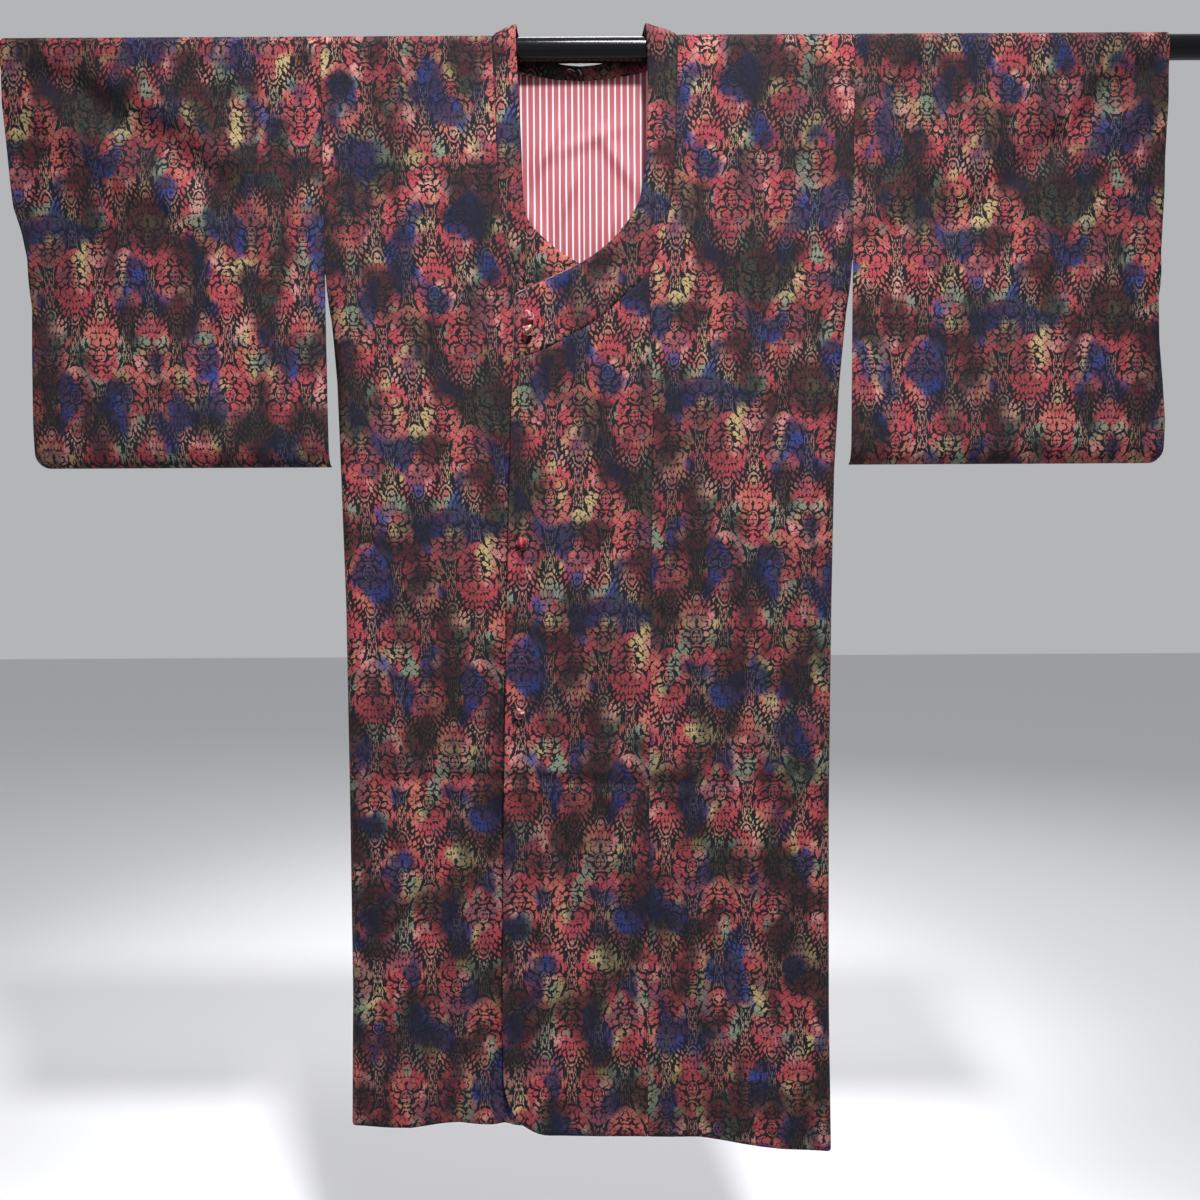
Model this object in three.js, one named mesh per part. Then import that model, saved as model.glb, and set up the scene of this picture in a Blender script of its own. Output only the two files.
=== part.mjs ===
// A lined crepe kimono coat hung through both sleeves on a round rod.
// Millimetres, +Z up. The origin is the middle of the rod's axis; -Y is the coat's front,
// and +X is the wearer's left. Every cloth piece is a wall drawn over one drape: a place on
// the cloth is (x, run), where run is the length of cloth from the ridge of the rod, positive
// down the front and negative down the back, and lift is how far it lies off the first layer.
import * as THREE from 'three';

// ---- Driving dimensions -------------------------------------------------------------------
const seamGap = 0.3;
const rod = { radius: 13.6, halfLength: 700, sides: 40 };
const wall = { body: 1.4, collar: 1.8, lining: 1.0 };
const baseRadius = rod.radius + seamGap + wall.collar / 2; // middle of the first layer's wall
const shoulderRun = (baseRadius * Math.PI) / 2;            // run at the height of the rod's axis
const overlapLift = 2.4;          // how far the wearer's left front lies over the right one
const overlapFade = { top: 150, full: 225, inner: 92, outer: 170 };
const buttonSize = { radius: 6.8, flat: 0.8 };
const liningSize = { halfWidth: 112, topMiddle: 31, topSide: 16, bottom: 330 };
const grid = { flat: 6, round: 4, skirt: 12, back: 9, collar: 3, sleeve: 6 }; // cells a stretch

const runAt = (drop) => shoulderRun + drop;                // run of a place drop mm under the axis

// The neck, from the front end of the collar to the middle of the back neck. Each row is one
// line across the collar: its seam to the panel, then its free edge. x is towards the wearer's
// own side, so it is negative past the middle of the front.
const neckLeft = [
  { seamX: -78, seamRun: runAt(345), edgeX: -74, edgeRun: runAt(272), edgeLift: 0 },
  { seamX: -42, seamRun: runAt(333), edgeX: -50, edgeRun: runAt(261), edgeLift: 0 },
  { seamX: -10, seamRun: runAt(316), edgeX: -24, edgeRun: runAt(250), edgeLift: 0 },
  { seamX: 20, seamRun: runAt(299), edgeX: 2, edgeRun: runAt(237), edgeLift: 0 },
  { seamX: 47, seamRun: runAt(275), edgeX: 28, edgeRun: runAt(219), edgeLift: 0 },
  { seamX: 76, seamRun: runAt(247), edgeX: 47, edgeRun: runAt(199), edgeLift: 0 },
  { seamX: 91, seamRun: runAt(211), edgeX: 59, edgeRun: runAt(181), edgeLift: 0 },
  { seamX: 100, seamRun: runAt(174), edgeX: 67, edgeRun: runAt(163), edgeLift: 0 },
  { seamX: 105, seamRun: runAt(124), edgeX: 73, edgeRun: runAt(118), edgeLift: 0 },
  { seamX: 107, seamRun: runAt(62), edgeX: 75, edgeRun: runAt(60), edgeLift: 0 },
  { seamX: 108, seamRun: runAt(18), edgeX: 75, edgeRun: runAt(22), edgeLift: 1 },
  { seamX: 108, seamRun: runAt(0), edgeX: 74, edgeRun: 17, edgeLift: 7 },
  { seamX: 108, seamRun: 0, edgeX: 72.5, edgeRun: 0, edgeLift: 12.5 },
];
const neckRight = [
  { seamX: -84, seamRun: runAt(347), edgeX: -80, edgeRun: runAt(276), edgeLift: 0 },
  { seamX: -42, seamRun: runAt(334), edgeX: -50, edgeRun: runAt(262), edgeLift: 0 },
  { seamX: -10, seamRun: runAt(317), edgeX: -24, edgeRun: runAt(251), edgeLift: 0 },
  { seamX: 20, seamRun: runAt(299), edgeX: 0, edgeRun: runAt(239), edgeLift: 0 },
  { seamX: 46, seamRun: runAt(276), edgeX: 22, edgeRun: runAt(226), edgeLift: 0 },
  { seamX: 72, seamRun: runAt(247), edgeX: 43, edgeRun: runAt(209), edgeLift: 0 },
  { seamX: 84, seamRun: runAt(212), edgeX: 59, edgeRun: runAt(190), edgeLift: 0 },
  { seamX: 91, seamRun: runAt(174), edgeX: 64.5, edgeRun: runAt(166), edgeLift: 0 },
  { seamX: 93, seamRun: runAt(124), edgeX: 66, edgeRun: runAt(118), edgeLift: 0 },
  { seamX: 95, seamRun: runAt(62), edgeX: 68, edgeRun: runAt(60), edgeLift: 0 },
  { seamX: 97, seamRun: runAt(18), edgeX: 70, edgeRun: runAt(22), edgeLift: 1 },
  { seamX: 97, seamRun: runAt(0), edgeX: 71, edgeRun: 17, edgeLift: 7 },
  { seamX: 97, seamRun: 0, edgeX: 71.5, edgeRun: 0, edgeLift: 12.5 },
];
// The collar stands off the rod at each side of the neck and sinks behind the rod in between.
const neckBack = [
  { seamShare: 0.98, seamRun: -runAt(0), edgeX: 69, edgeRun: -11, edgeLift: 12 },
  { seamShare: 0.84, seamRun: -runAt(12), edgeX: 59, edgeRun: -18, edgeLift: 6 },
  { seamShare: 0.6, seamRun: -runAt(21), edgeX: 45, edgeRun: -runAt(2), edgeLift: 2 },
  { seamShare: 0.27, seamRun: -runAt(27), edgeX: 22, edgeRun: -runAt(9.5), edgeLift: 1 },
  { seamShare: 0, seamRun: -runAt(29), edgeX: 0, edgeRun: -runAt(12), edgeLift: 0.8 },
];
const crossing = 5;               // the neck row where the collar passes the overlap panel's seam
const ridge = 12;                 // the neck row on the rod's ridge

// Half widths of the body below the armholes, and the slant of the overlap panels, by drop.
const bodySides = [
  { drop: 225, left: 305, right: 288 },
  { drop: 260, left: 303, right: 287 },
  { drop: 325, left: 297, right: 282 },
  { drop: 370, left: 293, right: 279 },
  { drop: 465, left: 288, right: 277 },
  { drop: 620, left: 286, right: 274 },
  { drop: 850, left: 285, right: 274 },
  { drop: 1085, left: 287, right: 275 },
  { drop: 1270, left: 291, right: 279 },
];
const overlapEdges = [
  { drop: 272, left: 74, right: 80 },
  { drop: 345, left: 78, right: 84 },
  { drop: 616, left: 87, right: 88 },
  { drop: 850, left: 93, right: 90 },
  { drop: 1085, left: 97, right: 90 },
  { drop: 1260, left: 97, right: 90 },
];
const overlapSeams = [
  { drop: 247, left: 76, right: 72 },
  { drop: 400, left: 80, right: 76 },
  { drop: 800, left: 75, right: 74 },
  { drop: 1260, left: 72, right: 72 },
];
// Drop of the hem under the rod's axis, across the coat; x is the real x.
const frontHem = [
  { x: -280, right: 1236, left: 1250 },
  { x: -206, right: 1240, left: 1250 },
  { x: -149, right: 1233, left: 1250 },
  { x: -93, right: 1236, left: 1249 },
  { x: -36, right: 1243, left: 1250 },
  { x: 63, right: 1243, left: 1251 },
  { x: 134, right: 1243, left: 1253 },
  { x: 233, right: 1243, left: 1267 },
  { x: 291, right: 1243, left: 1272 },
];
const backHemMiddle = 1254;       // at the centre-back seam; its ends meet the front hem's at the sides
const hemCorner = { width: 54, height: 74 };   // round corner of the left front

const sleeve = {
  left: { armhole: 305, bottom: 463 },
  right: { armhole: 288, bottom: 463 },
  cuffOpen: 222,
  cornerRadius: 16,
};
const sleeveEdges = [
  { drop: 0, left: 654, right: 643 },
  { drop: 60, left: 653.5, right: 643 },
  { drop: 128, left: 652, right: 639 },
  { drop: 172, left: 652, right: 636 },
  { drop: 200, left: 651, right: 628 },
  { drop: 230, left: 650, right: 623 },
  { drop: 282, left: 654, right: 624 },
  { drop: 326, left: 656, right: 625 },
  { drop: 371, left: 661, right: 626 },
  { drop: 416, left: 665, right: 627 },
  { drop: 463, left: 664, right: 626 },
];
const armholeDrop = { left: 230, right: 243 };
const rounding = { side: 16, sleeveBottom: 26, blend: 60 };

// The largest folds: soft troughs and ridges along a line, outward positive.
const folds = [
  { name: 'under front by the lap', x0: -118, drop0: 420, x1: -124, drop1: 1236, width: 26, lift: 3.2 },
  { name: 'hollow beside it', x0: -160, drop0: 520, x1: -168, drop1: 1236, width: 30, lift: -2.6 },
  { name: 'left skirt', x0: 205, drop0: 560, x1: 216, drop1: 1270, width: 42, lift: 3 },
  { name: 'left skirt hollow', x0: 140, drop0: 700, x1: 136, drop1: 1260, width: 34, lift: -1.6 },
  { name: 'right skirt', x0: -232, drop0: 640, x1: -236, drop1: 1236, width: 26, lift: 2.4 },
  { name: 'chest right', x0: -250, drop0: 60, x1: -170, drop1: 330, width: 38, lift: -2.4 },
  { name: 'chest left', x0: 262, drop0: 60, x1: 190, drop1: 300, width: 40, lift: -2.4 },
  { name: 'right sleeve, outer', x0: -620, drop0: 30, x1: -520, drop1: 330, width: 34, lift: -3.4 },
  { name: 'right sleeve, inner', x0: -380, drop0: 60, x1: -400, drop1: 420, width: 46, lift: 3 },
  { name: 'left sleeve, outer', x0: 630, drop0: 40, x1: 520, drop1: 200, width: 34, lift: -3.4 },
  { name: 'left sleeve, inner', x0: 520, drop0: 90, x1: 390, drop1: 330, width: 44, lift: -3 },
  { name: 'left sleeve, ridge', x0: 560, drop0: 200, x1: 540, drop1: 430, width: 44, lift: 3 },
];

const buttons = [
  { name: 'button_top', x: -60, drop: 297 },
  { name: 'button_second', x: -61, drop: 312.5 },
  { name: 'button_middle', x: -70, drop: 550 },
  { name: 'button_low', x: -74, drop: 746 },
];

// ---- Small helpers --------------------------------------------------------------------------
const mix = (a, b, t) => a + (b - a) * t;
const clamp01 = (t) => Math.min(1, Math.max(0, t));
const smooth = (t) => clamp01(t) ** 2 * (3 - 2 * clamp01(t));
const steps = (from, to, count) => Array.from({ length: count + 1 }, (_, i) => mix(from, to, i / count));
const signOf = (side) => (side === 'left' ? 1 : -1);

// A table read between its rows, in straight lines.
function lookUp(table, key, value, column) {
  let i = table.findIndex((row) => row[key] > value);
  if (i < 0) i = table.length - 1;
  i = Math.max(i, 1);
  const [a, b] = [table[i - 1], table[i]];
  return mix(a[column], b[column], clamp01((value - a[key]) / (b[key] - a[key])));
}

// A smooth curve through a table's rows (Catmull-Rom); at counts rows.
function along(rows, at, column) {
  const i = Math.min(Math.floor(at), rows.length - 2);
  const t = at - i;
  const p = [i - 1, i, i + 1, i + 2].map((k) => rows[Math.min(Math.max(k, 0), rows.length - 1)][column]);
  return p[1] + 0.5 * t * (p[2] - p[0] + t * (2 * p[0] - 5 * p[1] + 4 * p[2] - p[3]
    + t * (3 * (p[1] - p[2]) + p[3] - p[0])));
}

// ---- The drape ------------------------------------------------------------------------------
function foldLift(x, drop) {
  let sum = 0;
  for (const fold of folds) {
    const [dx, dz] = [fold.x1 - fold.x0, fold.drop1 - fold.drop0];
    const length = Math.hypot(dx, dz);
    const share = ((x - fold.x0) * dx + (drop - fold.drop0) * dz) / length ** 2;
    const off = ((x - fold.x0) * dz - (drop - fold.drop0) * dx) / length;
    const ends = smooth(share / 0.3) * smooth((1.35 - share) / 0.35);
    sum += fold.lift * Math.exp(-((off / fold.width) ** 2)) * ends;
  }
  return sum * smooth((drop - 20) / 120);
}

// Where the place (x, run) of the cloth is, lift off the first layer. close is 0 on the open
// cloth and 1 where front and back meet, at a side seam or a bottom seam.
function drape(x, run, lift = 0, close = 0) {
  const front = run >= 0 ? -1 : 1;
  if (Math.abs(run) <= shoulderRun) {
    const angle = run / baseRadius;
    const radius = baseRadius + lift;
    return new THREE.Vector3(x, -radius * Math.sin(angle), radius * Math.cos(angle));
  }
  const drop = Math.abs(run) - shoulderRun;
  const depth = (baseRadius + foldLift(x, drop)) * Math.sqrt(Math.max(0, 1 - close ** 2)) + lift;
  return new THREE.Vector3(x, front * Math.max(depth, seamGap / 2), -drop);
}

// The wearer's left front lies over the right one where they overlap.
function leftLayer(x, run) {
  const drop = run - shoulderRun;
  const down = smooth((drop - overlapFade.top) / (overlapFade.full - overlapFade.top));
  const across = smooth((overlapFade.outer - x) / (overlapFade.outer - overlapFade.inner));
  return overlapLift * down * across;
}
const layerOf = (side, x, run) => (side === 'left' && run > 0 ? leftLayer(x, run) : 0);

// ---- Walls ----------------------------------------------------------------------------------
// The outward normal at a grid point. Where front and back meet in the seam's plane it stays
// in that plane, and at a corner of two seams it points straight away from the cloth.
function wallNormal(points, j, i, flip) {
  const [rows, columns] = [points.length, points[0].length];
  const across = points[j][Math.min(i + 1, columns - 1)].clone().sub(points[j][Math.max(i - 1, 0)]);
  const down = points[Math.min(j + 1, rows - 1)][i].clone().sub(points[Math.max(j - 1, 0)][i]);
  const normal = across.cross(down).normalize().multiplyScalar(flip ? -1 : 1);
  const seamed = Math.abs(points[j][i].y) < seamGap;
  if (!seamed) return normal;
  normal.y = 0;
  if (normal.length() < 0.6) {
    const inner = points[j === 0 ? 2 : rows - 3][columns - 3];
    normal.copy(points[j][i]).sub(inner).setY(0);
  }
  return normal.normalize();
}

// A closed wall round a grid of points: points[j][i], half its thickness each way.
function wallGeometry(points, thick, flip = false) {
  const [rows, columns] = [points.length, points[0].length];
  const back = rows * columns;
  const normals = points.map((row, j) => row.map((_, i) => wallNormal(points, j, i, flip)));
  const place = [thick / 2, -thick / 2].flatMap((out) => points.flatMap((row, j) => row.flatMap(
    (point, i) => point.clone().addScaledVector(normals[j][i], out).toArray(),
  )));
  const index = [];
  const quad = (a, b, c, d) => (flip ? index.push(a, c, b, a, d, c) : index.push(a, b, c, a, c, d));
  const at = (j, i) => j * columns + i;
  for (let j = 0; j < rows - 1; j++) {
    for (let i = 0; i < columns - 1; i++) {
      quad(at(j, i), at(j, i + 1), at(j + 1, i + 1), at(j + 1, i));
      quad(back + at(j, i), back + at(j + 1, i), back + at(j + 1, i + 1), back + at(j, i + 1));
    }
  }
  const rim = (a, b) => quad(b, a, back + a, back + b);
  for (let i = 0; i < columns - 1; i++) {
    rim(at(0, i), at(0, i + 1));
    rim(at(rows - 1, i + 1), at(rows - 1, i));
  }
  for (let j = 0; j < rows - 1; j++) {
    rim(at(j + 1, 0), at(j, 0));
    rim(at(j, columns - 1), at(j + 1, columns - 1));
  }
  const geometry = new THREE.BufferGeometry();
  geometry.setAttribute('position', new THREE.Float32BufferAttribute(place, 3));
  geometry.setIndex(index);
  geometry.computeVertexNormals();
  return geometry;
}

// ---- Materials and the group ------------------------------------------------------------------
const crepe = new THREE.MeshStandardMaterial({ color: 0x6b4a4a, roughness: 0.9, metalness: 0 });
const liningCloth = new THREE.MeshStandardMaterial({ color: 0xdd7f8c, roughness: 0.85, metalness: 0 });
const gloss = new THREE.MeshStandardMaterial({ color: 0x0c0c0e, roughness: 0.25, metalness: 0.1 });

const group = new THREE.Group();
function add(name, geometry, material, position) {
  const mesh = new THREE.Mesh(geometry, material);
  mesh.name = name;
  if (position) mesh.position.copy(position);
  group.add(mesh);
}

// ---- The rod: a round pipe with plain ends, longer than the coat is wide ---------------------------
const rodGeometry = new THREE.CylinderGeometry(rod.radius, rod.radius, 2 * rod.halfLength, rod.sides);
rodGeometry.rotateZ(Math.PI / 2);
add('rod', rodGeometry, gloss);

// ---- The neck line: the seam and the free edge of the collar, one side at a time -------------------
function neckRows(side) {
  const front = side === 'left' ? neckLeft : neckRight;
  const seamX = front[ridge].seamX;
  return [...front, ...neckBack.map(({ seamShare, ...row }) => ({ seamX: seamShare * seamX, ...row }))];
}
const neck = { left: neckRows('left'), right: neckRows('right') };
const neckEnd = neck.left.length - 1;
// Stations along the neck, in rows of its table: closer together over the round of the rod.
const neckStations = [
  ...steps(0, ridge - 1, 2 * (ridge - 1)),
  ...steps(ridge - 1, ridge + 1, 8).slice(1),
  ...steps(ridge + 1, neckEnd, 2 * (neckEnd - ridge - 1)).slice(1),
];

// A point of the seam, moved off it by half the seam's gap: away from the neck on a panel's
// edge (offset 1) and towards it on the collar's (offset -1). Both share their stations.
function seamPlace(side, at, offset) {
  const rows = neck[side];
  const [x, run] = [along(rows, at, 'seamX'), along(rows, at, 'seamRun')];
  const [toX, toRun] = [along(rows, at, 'edgeX') - x, along(rows, at, 'edgeRun') - run];
  const length = Math.hypot(toX, toRun) || 1;
  const away = (-offset * seamGap) / 2;
  return { x: x + (toX / length) * away, run: run + (toRun / length) * away };
}

// ---- Body: one length of cloth a side, front hem to back hem over the rod --------------------------
function sideX(side, drop) {
  return lookUp(bodySides, 'drop', drop, side);
}

// A row of a body panel at one run: flat to its rounded side, where it meets the other face.
function bodyRow(side, innerX, run) {
  const drop = Math.max(0, Math.abs(run) - shoulderRun);
  const sewn = smooth((drop - armholeDrop[side]) / rounding.blend);
  const edge = mix(sleeve[side].armhole, sideX(side, drop), clamp01((drop - armholeDrop[side]) / 20 + 0.5))
    - (drop < armholeDrop[side] ? seamGap / 2 : seamGap);
  const flatX = steps(innerX, edge - rounding.side, grid.flat);
  const row = flatX.map((x) => drape(signOf(side) * x, run, layerOf(side, x, run)));
  for (const share of steps(0, 1, grid.round).slice(1)) {
    const round = Math.sin((share * Math.PI) / 2);
    const x = edge - rounding.side + rounding.side * mix(share, round, sewn);
    row.push(drape(signOf(side) * x, run, 0, sewn * round));
  }
  return row;
}

const hemDrop = (side, x) => lookUp(frontHem, 'x', signOf(side) * x, side);

for (const side of ['left', 'right']) {
  const rows = [];
  const top = neck[side][crossing].seamRun - shoulderRun;
  const seamHem = hemDrop(side, overlapSeams.at(-1)[side]);
  for (const share of steps(1, 0, grid.skirt).slice(0, -1)) {
    const drop = mix(top, seamHem, share);
    const inner = lookUp(overlapSeams, 'drop', drop, side) + seamGap / 2;
    const row = bodyRow(side, inner, runAt(drop));
    row.forEach((point) => {
      point.z -= (hemDrop(side, signOf(side) * point.x) - seamHem) * share;
    });
    rows.push(row);
  }
  for (const at of neckStations.filter((station) => station >= crossing)) {
    const inner = seamPlace(side, at, 1);
    rows.push(bodyRow(side, Math.max(inner.x, seamGap / 2), inner.run));
  }
  const backNeck = -neckBack.at(-1).seamRun;
  const sideHem = hemDrop(side, signOf(side) * sideX(side, backHemMiddle));
  for (const share of steps(0, 1, grid.back).slice(1)) {
    const row = bodyRow(side, seamGap / 2, -mix(backNeck, runAt(backHemMiddle), share));
    row.forEach((point) => {
      const out = Math.abs(point.x) / sideX(side, backHemMiddle);
      point.z -= (sideHem - backHemMiddle) * share * out;
    });
    rows.push(row);
  }
  add(`body_${side}`, wallGeometry(rows, wall.body, side === 'left'), crepe);
}

// ---- Overlap panels: the narrow front panels between the body and the collar -----------------------
for (const side of ['left', 'right']) {
  const sign = signOf(side);
  const columns = neckStations.filter((at) => at <= crossing).map((at) => seamPlace(side, at, 1));
  const seamTop = columns.at(-1).run - shoulderRun;
  const seamHem = hemDrop(side, overlapSeams.at(-1)[side]);
  const cornerX = -overlapEdges.at(-1)[side];
  const corner = side === 'left' ? hemCorner : { width: 1, height: 1 };
  const rows = steps(1, 0, grid.skirt).map((share) => {
    const seamX = lookUp(overlapSeams, 'drop', mix(seamTop, seamHem, share), side) - seamGap / 2;
    return columns.map((column) => {
      const topDrop = column.run - shoulderRun;
      const edgeX = -lookUp(overlapEdges, 'drop', mix(topDrop, seamHem, share), side);
      const across = (column.x - columns[0].x) / (columns.at(-1).x - columns[0].x);
      const flatX = share > 0 ? mix(edgeX, seamX, across) : Math.min(column.x, seamX);
      const flatDrop = mix(topDrop, hemDrop(side, flatX), share);
      const [x, drop] = roundCorner(flatX, flatDrop, cornerX, hemDrop(side, cornerX), corner);
      return drape(sign * x, runAt(drop), layerOf(side, x, runAt(drop)));
    });
  });
  add(`overlap_${side}`, wallGeometry(rows, wall.body, side === 'left'), crepe);
}

// A square corner of the cloth drawn in to a round one.
function roundCorner(x, drop, cornerX, cornerDrop, size) {
  const out = (cornerX + Math.sign(-cornerX) * size.width - x) / (Math.sign(-cornerX) * size.width);
  const down = (drop - (cornerDrop - size.height)) / size.height;
  if (out <= 0 || down <= 0) return [x, drop];
  const pull = Math.max(out, down) / Math.hypot(out, down);
  return [x + (1 - pull) * out * Math.sign(-cornerX) * size.width, drop - (1 - pull) * down * size.height];
}

// ---- Collar: one doubled strip round the neck, from front end to front end --------------------------
function collarRow(side, at) {
  const rows = neck[side];
  const sign = signOf(side);
  const seam = seamPlace(side, at, -1);
  const edge = { x: along(rows, at, 'edgeX'), run: along(rows, at, 'edgeRun') };
  const rise = along(rows, at, 'edgeLift');
  return steps(0, 1, grid.collar).map((share) => {
    const [x, run] = [mix(seam.x, edge.x, share), mix(seam.run, edge.run, share)];
    return drape(sign * x, run, layerOf(side, x, run) + rise * share ** 1.6);
  });
}
const collarRows = [
  ...neckStations.map((at) => collarRow('right', at)),
  ...neckStations.toReversed().slice(1).map((at) => collarRow('left', at)),
];
add('collar', wallGeometry(collarRows, wall.collar), crepe);

// ---- Lining: the inside of the back, as far as the neck shows it ------------------------------------
const liningLift = -(wall.body + wall.lining) / 2 - 2 * seamGap;
const liningRows = steps(0, 1, 6).map((share) => steps(-1, 1, 8).map((across) => {
  const x = across * liningSize.halfWidth;
  const top = mix(liningSize.topMiddle, liningSize.topSide, across ** 2);
  return drape(x, -runAt(mix(top, liningSize.bottom, share)), liningLift);
}));
add('lining_back', wallGeometry(liningRows, wall.lining), liningCloth);

// ---- Sleeves: each one length folded over the rod, sewn at the bottom and below the cuff -------------
for (const side of ['left', 'right']) {
  const sign = signOf(side);
  const { armhole, bottom } = sleeve[side];
  const lower = steps(0, bottom - rounding.sleeveBottom, grid.sleeve).slice(1);
  const turn = steps(0, Math.PI / 2, grid.round).slice(1);
  const bottomTurn = turn.map((angle) => ({
    drop: bottom - rounding.sleeveBottom * (1 - Math.sin(angle)), close: Math.sin(angle),
  }));
  const half = [...lower.map((drop) => ({ drop, close: 0 })), ...bottomTurn];
  const stations = [
    ...half.toReversed().map(({ drop, close }) => ({ run: runAt(drop), close })),
    ...steps(shoulderRun, -shoulderRun, 8).map((run) => ({ run, close: 0 })),
    ...half.map(({ drop, close }) => ({ run: -runAt(drop), close })),
  ];
  const rows = stations.map(({ run, close }) => {
    const drop = Math.max(0, Math.abs(run) - shoulderRun);
    const sewn = smooth((drop - sleeve.cuffOpen) / rounding.blend);
    const edge = lookUp(sleeveEdges, 'drop', drop, side);
    const flatX = steps(armhole + seamGap / 2, edge - rounding.side, grid.sleeve);
    const flat = flatX.map((x) => ({ x, round: 0 }));
    const round = turn.map((angle, k) => ({
      x: edge - rounding.side + rounding.side * mix((k + 1) / turn.length, Math.sin(angle), sewn),
      round: sewn * Math.sin(angle),
    }));
    return [...flat, ...round].map(({ x, round: closeX }) => {
      const corner = { width: sleeve.cornerRadius, height: sleeve.cornerRadius };
      const [cx, cDrop] = roundCorner(-x, drop, -edge, bottom, corner);
      const closed = Math.sqrt(1 - (1 - close ** 2) * (1 - closeX ** 2));
      const placeRun = Math.abs(run) <= shoulderRun ? run : Math.sign(run) * runAt(cDrop);
      return drape(sign * -cx, placeRun, 0, closed);
    });
  });
  add(`sleeve_${side}`, wallGeometry(rows, wall.body, side === 'left'), crepe);
}

// ---- Buttons: knotted balls of the same cloth down the left front's edge ---------------------------
function knotGeometry() {
  const ball = new THREE.SphereGeometry(buttonSize.radius, 12, 8);
  const place = ball.attributes.position;
  const point = new THREE.Vector3();
  for (let i = 0; i < place.count; i++) {
    point.fromBufferAttribute(place, i);
    const turn = Math.atan2(point.z, point.x);
    const across = point.y / buttonSize.radius;
    const groove = 0.07 * Math.cos(3 * turn + 4 * across) * (1 - across ** 2);
    point.multiplyScalar(1 + groove);
    point.y *= buttonSize.flat;
    place.setXYZ(i, point.x, point.y, point.z);
  }
  ball.computeVertexNormals();
  return ball;
}
for (const { name, x, drop } of buttons) {
  const thick = drop < 345 ? wall.collar : wall.body;
  const ground = drape(x, runAt(drop), layerOf('left', x, runAt(drop)) + thick / 2);
  ground.y -= buttonSize.radius * buttonSize.flat + 2 * seamGap;
  add(name, knotGeometry(), crepe, ground);
}

export default group;
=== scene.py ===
import math

import bmesh
import bpy
import numpy as np
from mathutils import Matrix, Vector


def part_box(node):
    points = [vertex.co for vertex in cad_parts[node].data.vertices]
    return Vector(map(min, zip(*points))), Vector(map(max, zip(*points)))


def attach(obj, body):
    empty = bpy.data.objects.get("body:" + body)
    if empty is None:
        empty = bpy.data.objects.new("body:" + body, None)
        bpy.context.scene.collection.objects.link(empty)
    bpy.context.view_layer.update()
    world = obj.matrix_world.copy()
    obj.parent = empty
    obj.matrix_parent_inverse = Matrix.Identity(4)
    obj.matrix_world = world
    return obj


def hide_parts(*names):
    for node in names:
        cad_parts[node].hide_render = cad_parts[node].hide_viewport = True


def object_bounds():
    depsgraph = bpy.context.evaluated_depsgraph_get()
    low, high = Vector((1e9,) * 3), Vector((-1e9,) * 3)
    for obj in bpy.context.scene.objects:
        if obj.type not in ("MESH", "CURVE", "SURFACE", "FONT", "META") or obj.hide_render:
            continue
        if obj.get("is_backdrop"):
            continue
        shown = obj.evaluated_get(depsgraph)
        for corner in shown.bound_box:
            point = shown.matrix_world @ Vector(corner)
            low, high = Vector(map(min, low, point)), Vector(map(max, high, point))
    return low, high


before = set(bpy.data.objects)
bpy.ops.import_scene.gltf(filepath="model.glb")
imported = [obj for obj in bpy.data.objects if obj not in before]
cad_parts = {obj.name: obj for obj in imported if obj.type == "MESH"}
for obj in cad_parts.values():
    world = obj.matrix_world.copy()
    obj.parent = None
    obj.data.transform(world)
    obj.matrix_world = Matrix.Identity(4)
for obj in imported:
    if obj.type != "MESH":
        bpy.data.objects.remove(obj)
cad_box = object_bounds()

# ---- Rod ----
# A steel garment-rack pipe, sprayed gloss black, longer than the coat is wide and cut square.
# The coat hangs on it through both sleeves, and the rack holds it by its ends.
ROOT = "root"


def by_math(operation):
    return lambda self, *others: self.math(operation, *others)


class Signal:
    """A number or a colour that changes over a surface, with arithmetic that adds Math nodes."""

    __add__, __sub__, __mul__ = by_math("ADD"), by_math("SUBTRACT"), by_math("MULTIPLY")
    __radd__, __rmul__, __truediv__ = __add__, __mul__, by_math("DIVIDE")
    __abs__, lower, higher = by_math("ABSOLUTE"), by_math("MINIMUM"), by_math("MAXIMUM")

    def __init__(self, tree, socket):
        self.tree, self.socket = tree, socket

    def math(self, operation, *others, clamp=False):
        settings = {"operation": operation, "use_clamp": clamp}
        return put(self.tree, "ShaderNodeMath", settings, dict(enumerate((self, *others))))

    def vector(self, operation, *others, output=0):
        settings, values = {"operation": operation}, dict(enumerate((self, *others)))
        return put(self.tree, "ShaderNodeVectorMath", settings, values, output)

    def __neg__(self):
        return self.math("MULTIPLY", -1.0)

    def __rsub__(self, other):
        return -self + other

    def clamped(self):
        return self.math("ADD", 0.0, clamp=True)


def put(tree, kind, settings, values, output=0):
    """One node of a tree: its settings, then a value, a link or a list of links for each socket."""
    node = tree.nodes.new(kind)
    for name, value in settings.items():
        setattr(node, name, value)
    for slot, value in values.items():
        for one in value if isinstance(value, list) else [value]:
            if isinstance(one, Signal):
                tree.links.new(one.socket, node.inputs[slot])
            else:
                node.inputs[slot].default_value = one
    return Signal(tree, node.outputs[output]) if node.outputs else None


def linear(red, green, blue):
    """A colour as printed on a colour card, 0 to 255 a channel, for a shader."""
    card = (red, green, blue)
    return (*[((c / 255 + 0.055) / 1.055) ** 2.4 if c > 10 else c / 3294 for c in card], 1)


def mixed(factor, a, b):
    """Colour a where factor is 0 and b where it is 1."""
    settings = {"data_type": "RGBA", "blend_type": "MIX", "clamp_factor": True}
    return put(factor.tree, "ShaderNodeMix", settings, {0: factor, 6: a, 7: b}, output=2)


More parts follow.
